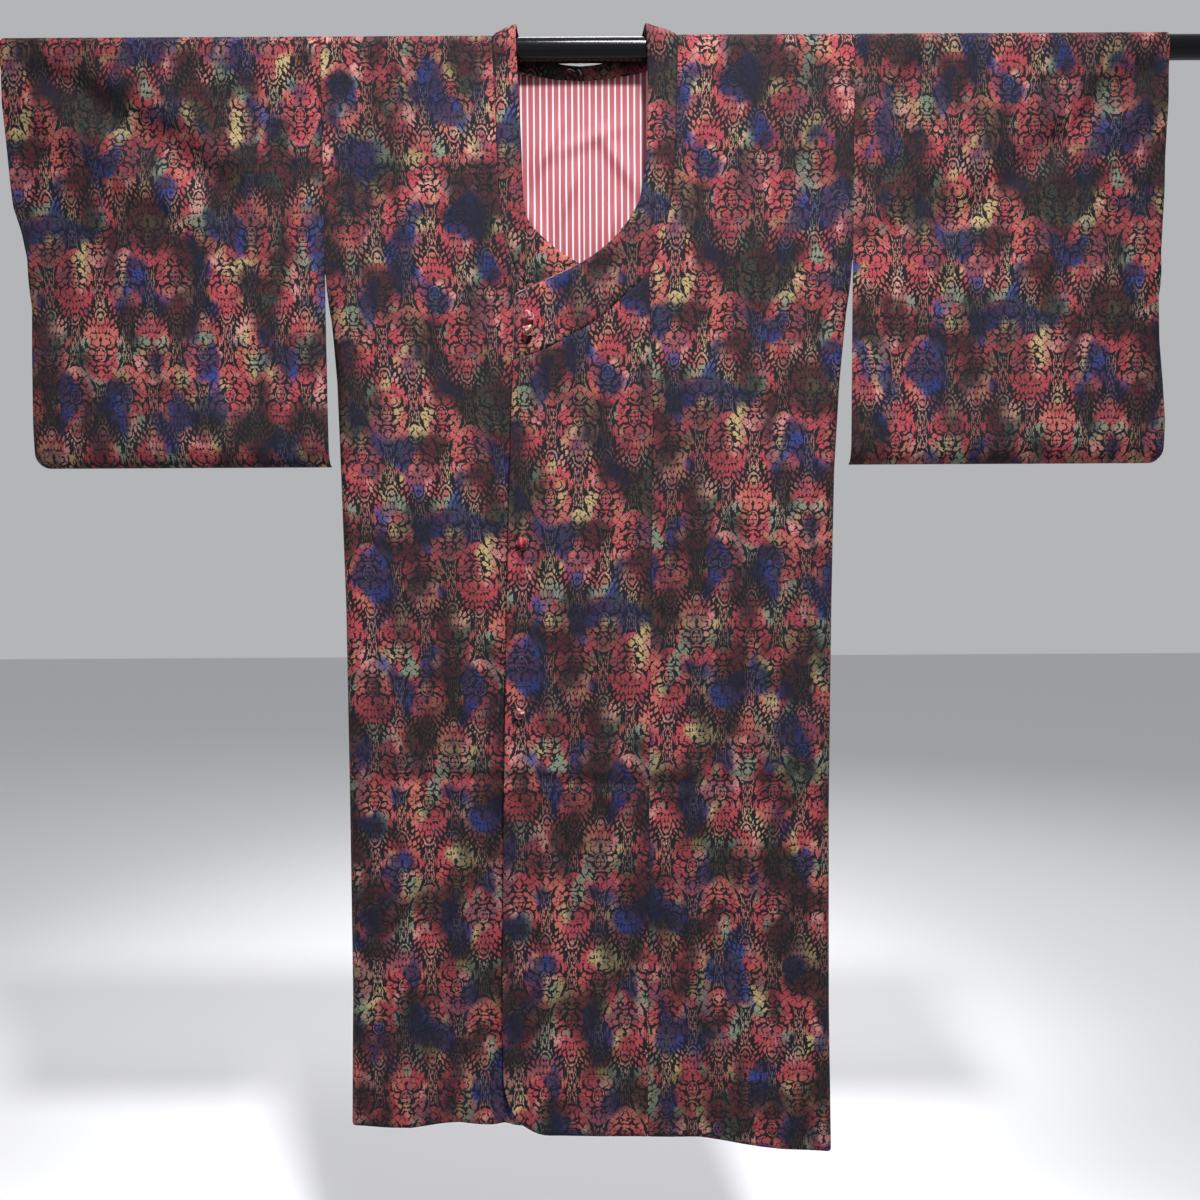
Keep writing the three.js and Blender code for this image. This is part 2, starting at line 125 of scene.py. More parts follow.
def noise(place, scale, detail=2.0, roughness=0.5):
    values = {"Vector": place, "Scale": scale, "Detail": detail, "Roughness": roughness}
    return put(place.tree, "ShaderNodeTexNoise", {}, values)


def new_material(name):
    material = bpy.data.materials.new(name)
    material.use_nodes = True
    tree = material.node_tree
    return material, tree, tree.nodes["Principled BSDF"]


def feed(shader, **sockets):
    """Sets or links the shader's sockets, named with _ for a space."""
    for name, value in sockets.items():
        slot = shader.inputs[name.replace("_", " ")]
        if isinstance(value, Signal):
            value.tree.links.new(value.socket, slot)
        else:
            slot.default_value = value


def bumped(height, distance):
    values = {"Strength": 1.0, "Distance": distance, "Height": height}
    return put(height.tree, "ShaderNodeBump", {}, values)


def object_place(tree):
    return put(tree, "ShaderNodeTexCoord", {}, {}, output=3)


def added(name, mesh):
    """A mesh, a camera or a lamp put in the scene as an object."""
    piece = bpy.data.objects.new(name, mesh)
    bpy.context.collection.objects.link(piece)
    return piece


gloss_black, tree, shader = new_material("gloss_black_paint")
place = object_place(tree)
haze = noise(place, 9.0, 3.0)
orange_peel = noise(place, 420.0, 1.0)
feed(
    shader,
    Base_Color=linear(10, 10, 12),
    Roughness=haze * 0.1 + 0.08,
    Specular_IOR_Level=0.22,
    Normal=bumped(orange_peel, 0.00005),
)

rod_low, rod_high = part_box("rod")
rod_radius = (rod_high.z - rod_low.z) / 2
CHAMFER, ROD_STEPS, SHARP_FROM = 0.0012, 96, 35
rod_mesh = bpy.data.meshes.new("rod_pipe")
lathe = bmesh.new()
end_profile = [(0, 0), (0, rod_radius - CHAMFER), (CHAMFER, rod_radius)]
profile = [(rod_low.x + inwards, radius) for inwards, radius in end_profile]
profile += [(rod_high.x - inwards, radius) for inwards, radius in end_profile[::-1]]
line = [lathe.verts.new((x, 0, radius)) for x, radius in profile]
edges = [lathe.edges.new(pair) for pair in zip(line, line[1:])]
turn = {"axis": (1, 0, 0), "cent": (0, 0, 0), "angle": 2 * math.pi, "steps": ROD_STEPS}
bmesh.ops.spin(lathe, geom=line + edges, **turn)
bmesh.ops.remove_doubles(lathe, verts=lathe.verts, dist=1e-6)
bmesh.ops.recalc_face_normals(lathe, faces=lathe.faces)
lathe.to_mesh(rod_mesh)
lathe.free()
rod_mesh.shade_smooth()
rod_mesh.set_sharp_from_angle(angle=math.radians(SHARP_FROM))
rod_pipe = added("rod_pipe", rod_mesh)
rod_mesh.materials.append(gloss_black)
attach(rod_pipe, ROOT)
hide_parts("rod")

# ---- Body ----
# Each half is one length of printed crepe, from the front hem over the rod to the back hem,
# sewn to its other half down the back and to itself down the side below the armhole.
MM = 0.001
SEAM_GAP = 0.3
ROD_RADIUS = rod_radius / MM
WALL = {"body": 1.4, "collar": 1.8, "lining": 1.0}
BASE_RADIUS = ROD_RADIUS + SEAM_GAP + WALL["collar"] / 2
SHOULDER_RUN = BASE_RADIUS * math.pi / 2
CELL = 6.0
SIGN = {"left": 1, "right": -1}
COLUMN = {"left": 1, "right": 2}  # of a table that gives the left and the right side


def run_at(drop):
    """The run of a place drop mm under the rod's axis, counted over the cloth from the ridge."""
    return SHOULDER_RUN + drop


def drop_at(run):
    return np.abs(run) - SHOULDER_RUN


# The neck, a row for each line across the collar: x and drop of its seam, then of its free
# edge, and how far the edge stands off the rod. x is towards the wearer's own side.
NECK = {
    "left": [
        (-78, 345, -74, 272, 0), (-42, 333, -50, 261, 0), (-10, 316, -24, 250, 0),
        (20, 299, 2, 237, 0), (47, 275, 28, 219, 0), (76, 247, 47, 199, 0), (91, 211, 59, 181, 0),
        (100, 174, 67, 163, 0), (105, 124, 73, 118, 0), (107, 62, 75, 60, 0), (108, 18, 75, 22, 1),
        (108, 0, 74, 17 - SHOULDER_RUN, 7), (108, -SHOULDER_RUN, 72.5, -SHOULDER_RUN, 12.5),
    ],
    "right": [
        (-84, 347, -80, 276, 0), (-42, 334, -50, 262, 0), (-10, 317, -24, 251, 0),
        (20, 299, 0, 239, 0), (46, 276, 22, 226, 0), (72, 247, 43, 209, 0), (84, 212, 59, 190, 0),
        (91, 174, 64.5, 166, 0), (93, 124, 66, 118, 0), (95, 62, 68, 60, 0), (97, 18, 70, 22, 1),
        (97, 0, 71, 17 - SHOULDER_RUN, 7), (97, -SHOULDER_RUN, 71.5, -SHOULDER_RUN, 12.5),
    ],
}
# Behind the rod: the seam's x as a share of its x on the ridge, and runs down the back.
NECK_BACK = [
    (0.98, -run_at(0), 69, -11, 12), (0.84, -run_at(12), 59, -18, 6),
    (0.6, -run_at(21), 45, -run_at(2), 2), (0.27, -run_at(27), 22, -run_at(9.5), 1),
    (0, -run_at(29), 0, -run_at(12), 0.8),
]
CROSSING, RIDGE = 5, 12  # the rows where the overlap's seam meets the neck, and on the rod
ARMHOLE = {"left": 305, "right": 288}
ARMHOLE_DROP = {"left": 230, "right": 243}
# How wide the cloth bends round at its side seam, above and at the hem, and how fast it closes.
ROUND_SIDE, ROUND_HEM, SEWN_BLEND = 16, 6, 60
HEM_BEND_FROM, HEM_BEND_OVER = 950, 280
# Half width of the body under the armholes: drop, left, right.
BODY_SIDE = [
    (225, 305, 288), (260, 303, 287), (325, 297, 282), (370, 293, 279), (465, 288, 277),
    (620, 286, 274), (850, 285, 274), (1085, 287, 275), (1270, 291, 279),
]
# The seam between body and overlap panel: drop, left, right.
OVERLAP_SEAM = [(247, 76, 72), (400, 80, 76), (800, 75, 74), (1260, 72, 72)]
# Drop of the front hem across the coat: x, left front, right front.
FRONT_HEM = [
    (-280, 1250, 1236), (-206, 1250, 1240), (-149, 1250, 1233), (-93, 1249, 1236),
    (-36, 1250, 1243), (63, 1251, 1243), (134, 1253, 1243), (233, 1267, 1243), (291, 1272, 1243),
]
BACK_HEM_MIDDLE = 1254  # its ends meet the front hem's at the sides

# Folds of the hanging cloth by the face that has them: x and drop of both ends, half width and
# height out of the cloth, negative for a trough. Those of both faces are long and soft.
FOLDS = {
    "both": [
        (-118, 420, -124, 1236, 26, 3.2), (-160, 520, -168, 1236, 30, -2.6),
        (205, 560, 216, 1270, 42, 3), (140, 700, 136, 1260, 34, -1.6),
        (-232, 640, -236, 1236, 26, 2.4), (-250, 60, -170, 330, 38, -2.4),
        (262, 60, 190, 300, 40, -2.4), (-620, 30, -520, 330, 34, -3.4),
        (-380, 60, -400, 420, 46, 3), (630, 40, 520, 200, 34, -3.4), (520, 90, 390, 330, 44, -3),
        (560, 200, 540, 430, 44, 3),
    ],
    "front": [
        (-300, 826, 300, 832, 5, -2.4), (-300, 838, 300, 843, 9, 2.0),
        (-300, 812, 300, 818, 9, 1.8), (-300, 634, 300, 630, 7, -1.6),
        (-96, 360, -104, 1230, 10, -2.0), (10, 250, 118, 226, 12, -2.4),
        (-640, -6, -372, 172, 18, -8.4), (-640, 42, -420, 192, 18, 6.0),
        (-560, 4, -340, 146, 17, 4.2), (-604, 140, -592, 340, 26, -7.0),
        (-470, 230, -360, 420, 22, -2.6), (655, 0, 500, 128, 17, -7.6),
        (606, 76, 372, 218, 18, -7.6), (664, 50, 430, 190, 18, 5.0), (430, -20, 336, 64, 14, -5.0),
        (410, 140, 326, 232, 15, -4.6), (640, 150, 470, 330, 22, -4.6),
    ],
    "back": [
        (-300, 806, 300, 800, 6, -1.8), (-300, 420, 300, 425, 6, -0.8),
        (-620, 10, -390, 170, 18, -6.4), (625, 20, 390, 205, 18, -6.4),
        (-190, 240, -120, 480, 20, -2.0), (60, 700, 66, 1240, 30, 3.0),
        (-100, 620, -104, 1230, 28, -2.4),
    ],
}
# Over what share of its length a fold rises, where past its end it fades, and over what share.
LONG_RISE, LONG_END, LONG_FADE = 0.3, 1.35, 0.35
SHARP_RISE = 0.2  # the same at both ends of a fold of one face
WANDER, WANDER_SIZE = 5, 55  # how far a sharp fold wanders, in mm, over lumps of what size
LUMPS, WRINKLES = (1.1, 74), (0.5, 27)  # height and size of the unevenness
MAIN_FROM, MAIN_OVER, SHARP_FROM_DROP, SHARP_OVER = 12, 110, 4, 40  # where folds leave the rod


def smooth(t):
    t = np.clip(t, 0, 1)
    return t * t * (3 - 2 * t)


def bell(distance, width):
    """1 at no distance, falling softly over that width to both sides."""
    return np.exp(-((distance / width) ** 2))


def look_up(table, value, column):
    """A table read between its rows in straight lines, by its first column."""
    rows = np.array(table, float)
    return np.interp(value, rows[:, 0], rows[:, column])


def along(rows, at, column):
    """A smooth curve (Catmull-Rom) through a table's rows; at counts rows."""
    values = np.array([row[column] for row in rows], float)
    at = np.asarray(at, float)
    i = np.minimum(np.floor(at).astype(int), len(values) - 2)
    t = at - i
    a, b, c, d = (values[np.clip(i + k, 0, len(values) - 1)] for k in (-1, 0, 1, 2))
    return b + 0.5 * t * (c - a + t * (2 * a - 5 * b + 4 * c - d + t * (3 * (b - c) + d - a)))


rng = np.random.default_rng(7)
CRUMPLE_CELLS = 64
CRUMPLE = rng.standard_normal((4, CRUMPLE_CELLS, CRUMPLE_CELLS))


def crumple(x, run, size, layer):
    """Soft uneven relief from about -1 to 1, with lumps of about that size."""
    field = CRUMPLE[layer]
    gx, gy = np.asarray(x) / size + 31.3, np.asarray(run) / size + 17.7
    ix, iy = np.floor(gx).astype(int), np.floor(gy).astype(int)
    fx, fy = smooth(gx - ix), smooth(gy - iy)
    value = 0
    for dx, wx in ((0, 1 - fx), (1, fx)):
        for dy, wy in ((0, 1 - fy), (1, fy)):
            cell = field[(ix + dx) % CRUMPLE_CELLS, (iy + dy) % CRUMPLE_CELLS]
            value = value + cell * wx * wy
    return value / 1.6


def fold_lift(x, run):
    """How far the folds push the cloth out at a place, in mm."""
    drop = drop_at(run)
    listed = [(face, fold) for face, folds in FOLDS.items() for fold in folds]
    main = sharp = 0.0
    for face, (x0, drop0, x1, drop1, width, height) in listed:
        shown = run >= 0 if face == "front" else run < 0
        dx, dz = x1 - x0, drop1 - drop0
        length = math.hypot(dx, dz)
        share = ((x - x0) * dx + (drop - drop0) * dz) / length**2
        off = ((x - x0) * dz - (drop - drop0) * dx) / length
        if face == "both":
            ends = smooth(share / LONG_RISE) * smooth((LONG_END - share) / LONG_FADE)
            main = main + height * bell(off, width) * ends
        else:
            ends = smooth(share / SHARP_RISE) * smooth((1 - share) / SHARP_RISE)
            off = off + WANDER * crumple(x, run, WANDER_SIZE, 2)
            sharp = sharp + shown * height * bell(off, width) * ends
    small = LUMPS[0] * crumple(x, run, LUMPS[1], 0)
    small = small + WRINKLES[0] * crumple(x, run * 0.8, WRINKLES[1], 1)
    leaving, sharp_leaving = (drop - MAIN_FROM) / MAIN_OVER, (drop - SHARP_FROM_DROP) / SHARP_OVER
    return (main + small) * smooth(leaving) + sharp * smooth(sharp_leaving)


def drape(x, run, lift=0.0, close=0.0):
    """Where the place (x, run) of the cloth is, in mm: (..., 3)."""
    x, run, lift, close = np.broadcast_arrays(*map(np.asarray, (x, run, lift, close)))
    over = np.abs(run) <= SHOULDER_RUN
    angle = np.clip(run / BASE_RADIUS, -math.pi / 2, math.pi / 2)
    front = np.where(run >= 0, -1.0, 1.0)
    open_depth = (BASE_RADIUS + fold_lift(x, run)) * np.sqrt(np.maximum(0, 1 - close**2)) + lift
    depth = np.maximum(open_depth, SEAM_GAP / 2)
    y = np.where(over, -(BASE_RADIUS + lift) * np.sin(angle), front * depth)
    z = np.where(over, (BASE_RADIUS + lift) * np.cos(angle), SHOULDER_RUN - np.abs(run))
    return np.stack([x, y, z], -1)


# How far the left front lies over the right one, from which drop and over how many mm it lifts,
# and from which x outwards and over how many mm it comes down again.
OVERLAP_LIFT, LIFT_FROM, LIFT_OVER, LIFT_EDGE, LIFT_SLOPE = 2.4, 150, 75, 170, 78


def left_layer(x, run):
    """The wearer's left front lies over the right one where they overlap."""
    down = smooth((run - SHOULDER_RUN - LIFT_FROM) / LIFT_OVER)
    return OVERLAP_LIFT * down * smooth((LIFT_EDGE - x) / LIFT_SLOPE)


# The left front's free edge stands off and the cloth under it sinks: drop, left edge, right edge.
OVERLAP_EDGE = [
    (272, 74, 80), (345, 78, 84), (616, 87, 88), (850, 93, 90), (1085, 97, 90), (1260, 97, 90),
]
EDGE_CURL, CURL_WIDTH, UNDER_GROOVE, GROOVE_WIDTH = 4.0, 11, 4.6, 8
LOOSE_FROM, LOOSE_OVER = 330, 130


def loosening(drop):
    """How freely the left front's edge hangs at a drop, from 0 at the collar to 1."""
    return smooth((drop - LOOSE_FROM) / LOOSE_OVER)


def layer_of(side, x, run):
    """How far a side's front stands off the plain drape, in mm."""
    if side == "left":
        return left_layer(x, run)
    drop = drop_at(run)
    off = x - look_up(OVERLAP_EDGE, drop, 1)
    return -UNDER_GROOVE * bell(off, GROOVE_WIDTH) * loosening(drop)


def neck_rows(side):
    """The neck's rows as x and run of seam and free edge, and lift, all the way to mid back."""
    front = [(sx, run_at(sd), ex, run_at(ed), lift) for sx, sd, ex, ed, lift in NECK[side]]
    ridge_x = front[RIDGE][0]
    return front + [(share * ridge_x, *rest) for share, *rest in NECK_BACK]


neck = {side: neck_rows(side) for side in SIGN}
NECK_END = RIDGE + len(NECK_BACK)
NECK_STEP, BACK_STATIONS = 0.125, 33


def neck_stations(first):
    """Where rows of cloth meet the neck, in rows of its table, twice as close on the rod."""
    return np.concatenate([
        np.arange(first, RIDGE - 1, NECK_STEP),
        np.arange(RIDGE - 1, RIDGE + 1, NECK_STEP / 2),
        np.linspace(RIDGE + 1, NECK_END, BACK_STATIONS),
    ])


def seam_place(side, at, offset):
    """x and run on the neck's seam, half the gap towards the panel (1) or the collar (-1)."""
    rows = neck[side]
    x, run = along(rows, at, 0), along(rows, at, 1)
    to_x, to_run = along(rows, at, 2) - x, along(rows, at, 3) - run
    length = np.maximum(np.hypot(to_x, to_run), 1e-6)
    return x - offset * SEAM_GAP / 2 * to_x / length, run - offset * SEAM_GAP / 2 * to_run / length


RIM_BULGE = 0.12  # how far a wall's edge rounds out, as a share of its thickness


def wall(name, points, cloth, thick, outside, inside=None, turn_in=(0, 0, 0, 0)):
    """A closed wall round a grid of points[j, i] in mm, as an object with UVs in metres of cloth.

    outside and inside are its faces' materials; the first cells in from its top, bottom, first
    and last edges keep the outside's on the inner face, as a turned hem does.
    """
    rows, columns = points.shape[:2]
    across, down = np.gradient(points, axis=1), np.gradient(points, axis=0)
    normal = np.cross(across, down)
    normal[np.abs(points[..., 1]) < SEAM_GAP, 1] = 0
    size = np.linalg.norm(normal, axis=-1, keepdims=True)
    normal = normal / np.maximum(size, 1e-9)
    front = points[rows // 4, columns // 2, 1] < 0
    if (normal[rows // 4, columns // 2, 1] > 0) == front:
        normal = -normal
    flipped = np.cross(across, down)[rows // 2, columns // 2] @ normal[rows // 2, columns // 2] < 0
    outer, inner = points + normal * thick / 2, points - normal * thick / 2
    ring = [(0, i) for i in range(columns)] + [(j, columns - 1) for j in range(1, rows)]
    ring += [(rows - 1, i) for i in range(columns - 2, -1, -1)]
    ring += [(j, 0) for j in range(rows - 2, 0, -1)]
    jj, ii = np.array(ring).T
    back_in = points[np.clip(jj, 1, rows - 2), np.clip(ii, 1, columns - 2)]
    away = points[jj, ii] - back_in
    away -= (away * normal[jj, ii]).sum(-1, keepdims=True) * normal[jj, ii]
    away /= np.maximum(np.linalg.norm(away, axis=-1, keepdims=True), 1e-9)
    rim = points[jj, ii] + away * thick * RIM_BULGE
    count = rows * columns
    place = np.concatenate([outer.reshape(-1, 3), inner.reshape(-1, 3), rim]) * MM
    at = np.arange(count).reshape(rows, columns)
    quads = np.stack([at[:-1, :-1], at[:-1, 1:], at[1:, 1:], at[1:, :-1]], -1).reshape(-1, 4)
    edge = at[jj, ii]
    middle = 2 * count + np.arange(len(ring))
    sides = ((edge, middle), (middle, edge + count))
    walls = [np.stack([a, b, np.roll(b, -1), np.roll(a, -1)], 1) for a, b in sides]
    faces = np.concatenate([quads, quads[:, ::-1] + count, *walls])
    if flipped:
        faces = faces[:, ::-1]
    mesh = bpy.data.meshes.new(name)
    mesh.from_pydata(place.tolist(), [], faces.tolist())
    flat = cloth.reshape(-1, 2)
    spread = np.concatenate([flat, flat, cloth[jj, ii]]) * MM
    layer = mesh.uv_layers.new(name="cloth")
    corner = np.empty(len(mesh.loops), int)
    mesh.loops.foreach_get("vertex_index", corner)
    layer.data.foreach_set("uv", spread[corner].ravel())
    mesh.materials.append(outside)
    if inside:
        mesh.materials.append(inside)
        j, i = np.divmod(np.arange(len(quads)), columns - 1)
        top, bottom, first, last = turn_in
        lined = (j >= top) & (j < rows - 1 - bottom) & (i >= first) & (i < columns - 1 - last)
        index = np.zeros(len(faces), int)
        index[len(quads) : 2 * len(quads)] = lined
        mesh.polygons.foreach_set("material_index", index)
    mesh.shade_smooth()
    return added(name, mesh)


def ellipse(p, cx, cy, rx, ry):
    """How far outside an ellipse a place of the print is, in mm; negative inside."""
    scaled = p.vector("MULTIPLY_ADD", (1 / rx, 1 / ry, 0), (-cx / rx, -cy / ry, 0))
    length = scaled.vector("LENGTH", output=1)
    return length.math("MULTIPLY_ADD", min(rx, ry), -min(rx, ry))


def leaf(p, x0, y0, x1, y1, half_width):
    """A pointed leaf from one end to the other, that half width at its middle."""
    cx, cy = (x0 + x1) / 2, (y0 + y1) / 2
    half = math.hypot(x1 - x0, y1 - y0) / 2
    ux, uy = (x1 - x0) / 2 / half, (y1 - y0) / 2 / half
    moved = p.vector("SUBTRACT", (cx, cy, 0))
    t = moved.vector("DOT_PRODUCT", (ux / half, uy / half, 0), output=1)
    s = moved.vector("DOT_PRODUCT", (-uy, ux, 0), output=1)
    return abs(s) + (t * t).math("MULTIPLY_ADD", half_width, -half_width)


def union(shapes):
    """The nearest of several distances, as if the shapes were one."""
    total = shapes[0]
    for shape in shapes[1:]:
        total = total.lower(shape)
    return total


REPEAT_WIDE, REPEAT_TALL = 62.0, 136.0
# The damask's medallion, right half, in mm from its middle: x, y, half width, half height.
PETALS = [
    (0, 42.0, 4.6, 3.2), (0, 25.4, 3.6, 1.3), (0, 20.6, 4.0, 1.4), (2.5, 13.4, 2.1, 1.9),
    (2.2, 8.6, 1.8, 1.7), (0, 4.4, 1.4, 1.9), (13.6, 15.4, 3.4, 3.2), (19.6, 11.4, 3.9, 3.9),
    (17.6, 21.0, 3.0, 2.7), (11.2, 7.6, 3.2, 2.7), (17.0, 4.6, 2.7, 2.2), (0, -34.6, 1.7, 2.4),
    (0, -12.6, 5.0, 2.2), (0, -27.4, 1.7, 1.9), (18.6, -14.6, 2.1, 2.3),
]
# Its leaves: x and y of both tips, half width.
LEAVES = [
    (1.8, 42.4, 10.8, 36.0, 3.3), (7.6, 39.6, 15.0, 29.4, 3.2), (12.0, 34.4, 19.0, 22.4, 3.3),
    (17.0, 27.6, 19.8, 15.6, 2.6), (6.0, 22.8, 11.6, 17.0, 2.0), (5.0, 36.4, 7.0, 31.6, 0.7),
    (6.8, 29.8, 4.0, 26.6, 0.8), (9.2, 29.0, 13.0, 22.6, 1.5), (20.6, 2.4, 20.8, -11.0, 1.5),
    (20.2, -8.4, 11.6, -18.8, 2.3), (0.0, -14.6, 0.0, -25.0, 1.7), (3.6, -15.0, 5.4, -26.0, 1.9),
    (7.6, -14.8, 10.6, -25.4, 1.9), (11.4, -14.0, 15.6, -23.6, 1.9),
    (15.4, -12.4, 20.4, -20.2, 1.6), (2.6, -24.4, 3.4, -31.4, 1.5),
    (7.4, -25.2, 9.2, -33.0, 1.6), (12.4, -24.6, 15.0, -32.0, 1.5),
    (17.0, -22.2, 20.4, -27.4, 1.2), (10.6, -33.0, 13.0, -38.0, 1.0),
    (21.6, 16.6, 23.0, 9.0, 0.9), (23.6, 0.0, 23.8, -12.0, 0.8),
]
# Thin lines left in the ground's colour across the petals: tips and half width.
CUTS = [
    (6.6, 36.0, 9.6, 39.6, 0.6), (11.2, 31.0, 15.4, 33.2, 0.6), (14.4, 24.4, 19.0, 26.0, 0.6),
    (1.8, 38.4, 3.4, 43.0, 0.5), (16.6, 13.4, 22.4, 9.4, 0.6), (11.8, 17.6, 15.8, 13.4, 0.5),
    (9.6, -9.4, 15.0, -12.4, 0.6), (16.6, -12.6, 19.4, -9.6, 0.5), (3.2, -12.8, 6.4, -9.8, 0.5),
    (12.6, 0.6, 14.8, -3.4, 0.5), (3.6, 2.0, 9.6, -0.8, 1.1), (4.4, -9.0, 8.4, -7.6, 0.8),
    (0.0, 4.0, 0.0, -9.0, 1.1),
]
# Its larger ellipses, in the same terms.
OVAL, DOME = (0, 9.6, 6.0, 8.2), (0, -29.0, 6.9, 13.6)
DISC, HOOK, KEYHOLE = (8.6, -5.8, 8.2, 7.6), (7.4, -4.6, 4.6, 4.0), (0, -6.6, 2.2, 3.0)
SWELL = 0.2  # how far the ink spreads past the chart
# Airbrushed blotches of ink laid over the red one: colour, width and height in mm, how much of
# the cloth they leave free, how soft their edges are, how fully they cover, and a place to
# start the noise from.
INKS = [
    ((156, 88, 78), 34, 50, 0.50, 9, 0.8, 11.0),
    ((153, 138, 98), 38, 56, 0.56, 11, 0.9, 23.0),
    ((96, 116, 100), 34, 50, 0.57, 13, 0.85, 37.0),
    ((96, 56, 70), 40, 60, 0.53, 10, 0.75, 53.0),
    ((174, 122, 116), 28, 42, 0.58, 12, 0.8, 71.0),
]
# Navy ink, bright blue in it, thin ink and large clouds: as above without colour and cover.
NAVY, BRIGHT_BLUE = (46, 68, 0.545, 13, 5.0), (20, 30, 0.52, 8, 83.0)
DIM, CLOUD = (54, 76, 0.47, 8, 61.0), (110, 130, 0.38, 4, 97.0)
# How far the weave's edges wander, in mm: solid shapes, thin lines, and the lines' breaks.
RAGGED_SOLID, RAGGED_LINE, LINE_BREAKS, EDGE_SHARPNESS = 3.4, 1.2, 2.0, -2.0
# Half the height of the wave on which one medallion's field meets the next one's, in mm.
FIELD_WAVE = 10.1


def ring(p, row, half_width):
    return abs(ellipse(p, *row)) - half_width


def medallion(p, x, y):
    """How far outside the damask's solid shapes a place is, in mm."""
    shapes = [ellipse(p, *row) for row in PETALS] + [leaf(p, *row) for row in LEAVES]
    diamond = (abs(x) / 4.0 + abs(y - 33.0) / 5.4 - 1) * 3.0
    cuts = union([leaf(p, *row) for row in CUTS] + [ellipse(p, *KEYHOLE)])
    hook = ring(p, HOOK, 0.75).higher(7.6 - x - y * 0.25)
    solid = union([*shapes, ellipse(p, *DISC), diamond]) - SWELL
    return solid.higher(-cuts.lower(hook)).higher(1.0 - abs(ellipse(p, *OVAL)))


def fine_lines(p, x, y):
    """The same for its thin lines: the oval, the domes' arcs and the strands between them."""
    dome = ellipse(p, *DOME)
    arcs = (abs(dome).lower(abs(dome + 2.8)) - 0.6).higher(y + x * 0.3 + 30.5)
    spokes = (y + 26).math("ARCTAN2", x) * 31
    ticks = (abs(dome - 2.9) - 1.0).higher(0.15 - spokes.math("SINE")).higher(y + 38.5)
    end = abs(y)
    middle = REPEAT_TALL / 2 - end
    top = y.math("GREATER_THAN", 0.0)
    near_cap = ((56 - end) / 18).clamped().math("POWER", 1.6) * 5.2
    near_dome = ((54 - end) / 10).clamped().math("POWER", 1.5) * 2.0
    flare = near_dome + top * (near_cap - near_dome)
    sway = (middle * 0.31).math("COSINE") * 0.7
    outer = (abs(x - 4.5 - flare + sway) - 0.45).higher(48 - top * 10.5 - end)
    beads = (abs(x - 2.3 - flare * 0.45) - 0.55).higher(abs(middle.math("WRAP", 7.0, -7.0)) - 5.4)
    row = (x - 0.55).higher(abs((middle - 7.0).math("WRAP", 7.0, -7.0)) - 4.6)
    strands = outer.lower(beads.lower(row).higher(48.5 - end))
    return union([ring(p, OVAL, 0.45), arcs, ticks, strands])


def blotch(spot, width, height, free, softness, seed):
    """Where an airbrushed patch of ink lies, from 0 to 1."""
    place = spot.vector("MULTIPLY_ADD", (1 / width, 1 / height, 0), (seed, seed * 1.7, seed))
    return ((noise(place, 1.0, 1.5, 0.55) - free) * softness).clamped()


def cloth_spot(tree):
    """Where a point lies on the flat cloth, in mm."""
    cloth = put(tree, "ShaderNodeUVMap", {"uv_map": "cloth"}, {})
    return cloth.vector("MULTIPLY", (1 / MM, 1 / MM, 1 / MM))


def across_and_up(spot):
    return (put(spot.tree, "ShaderNodeSeparateXYZ", {}, {0: spot}, output=k) for k in (0, 1))


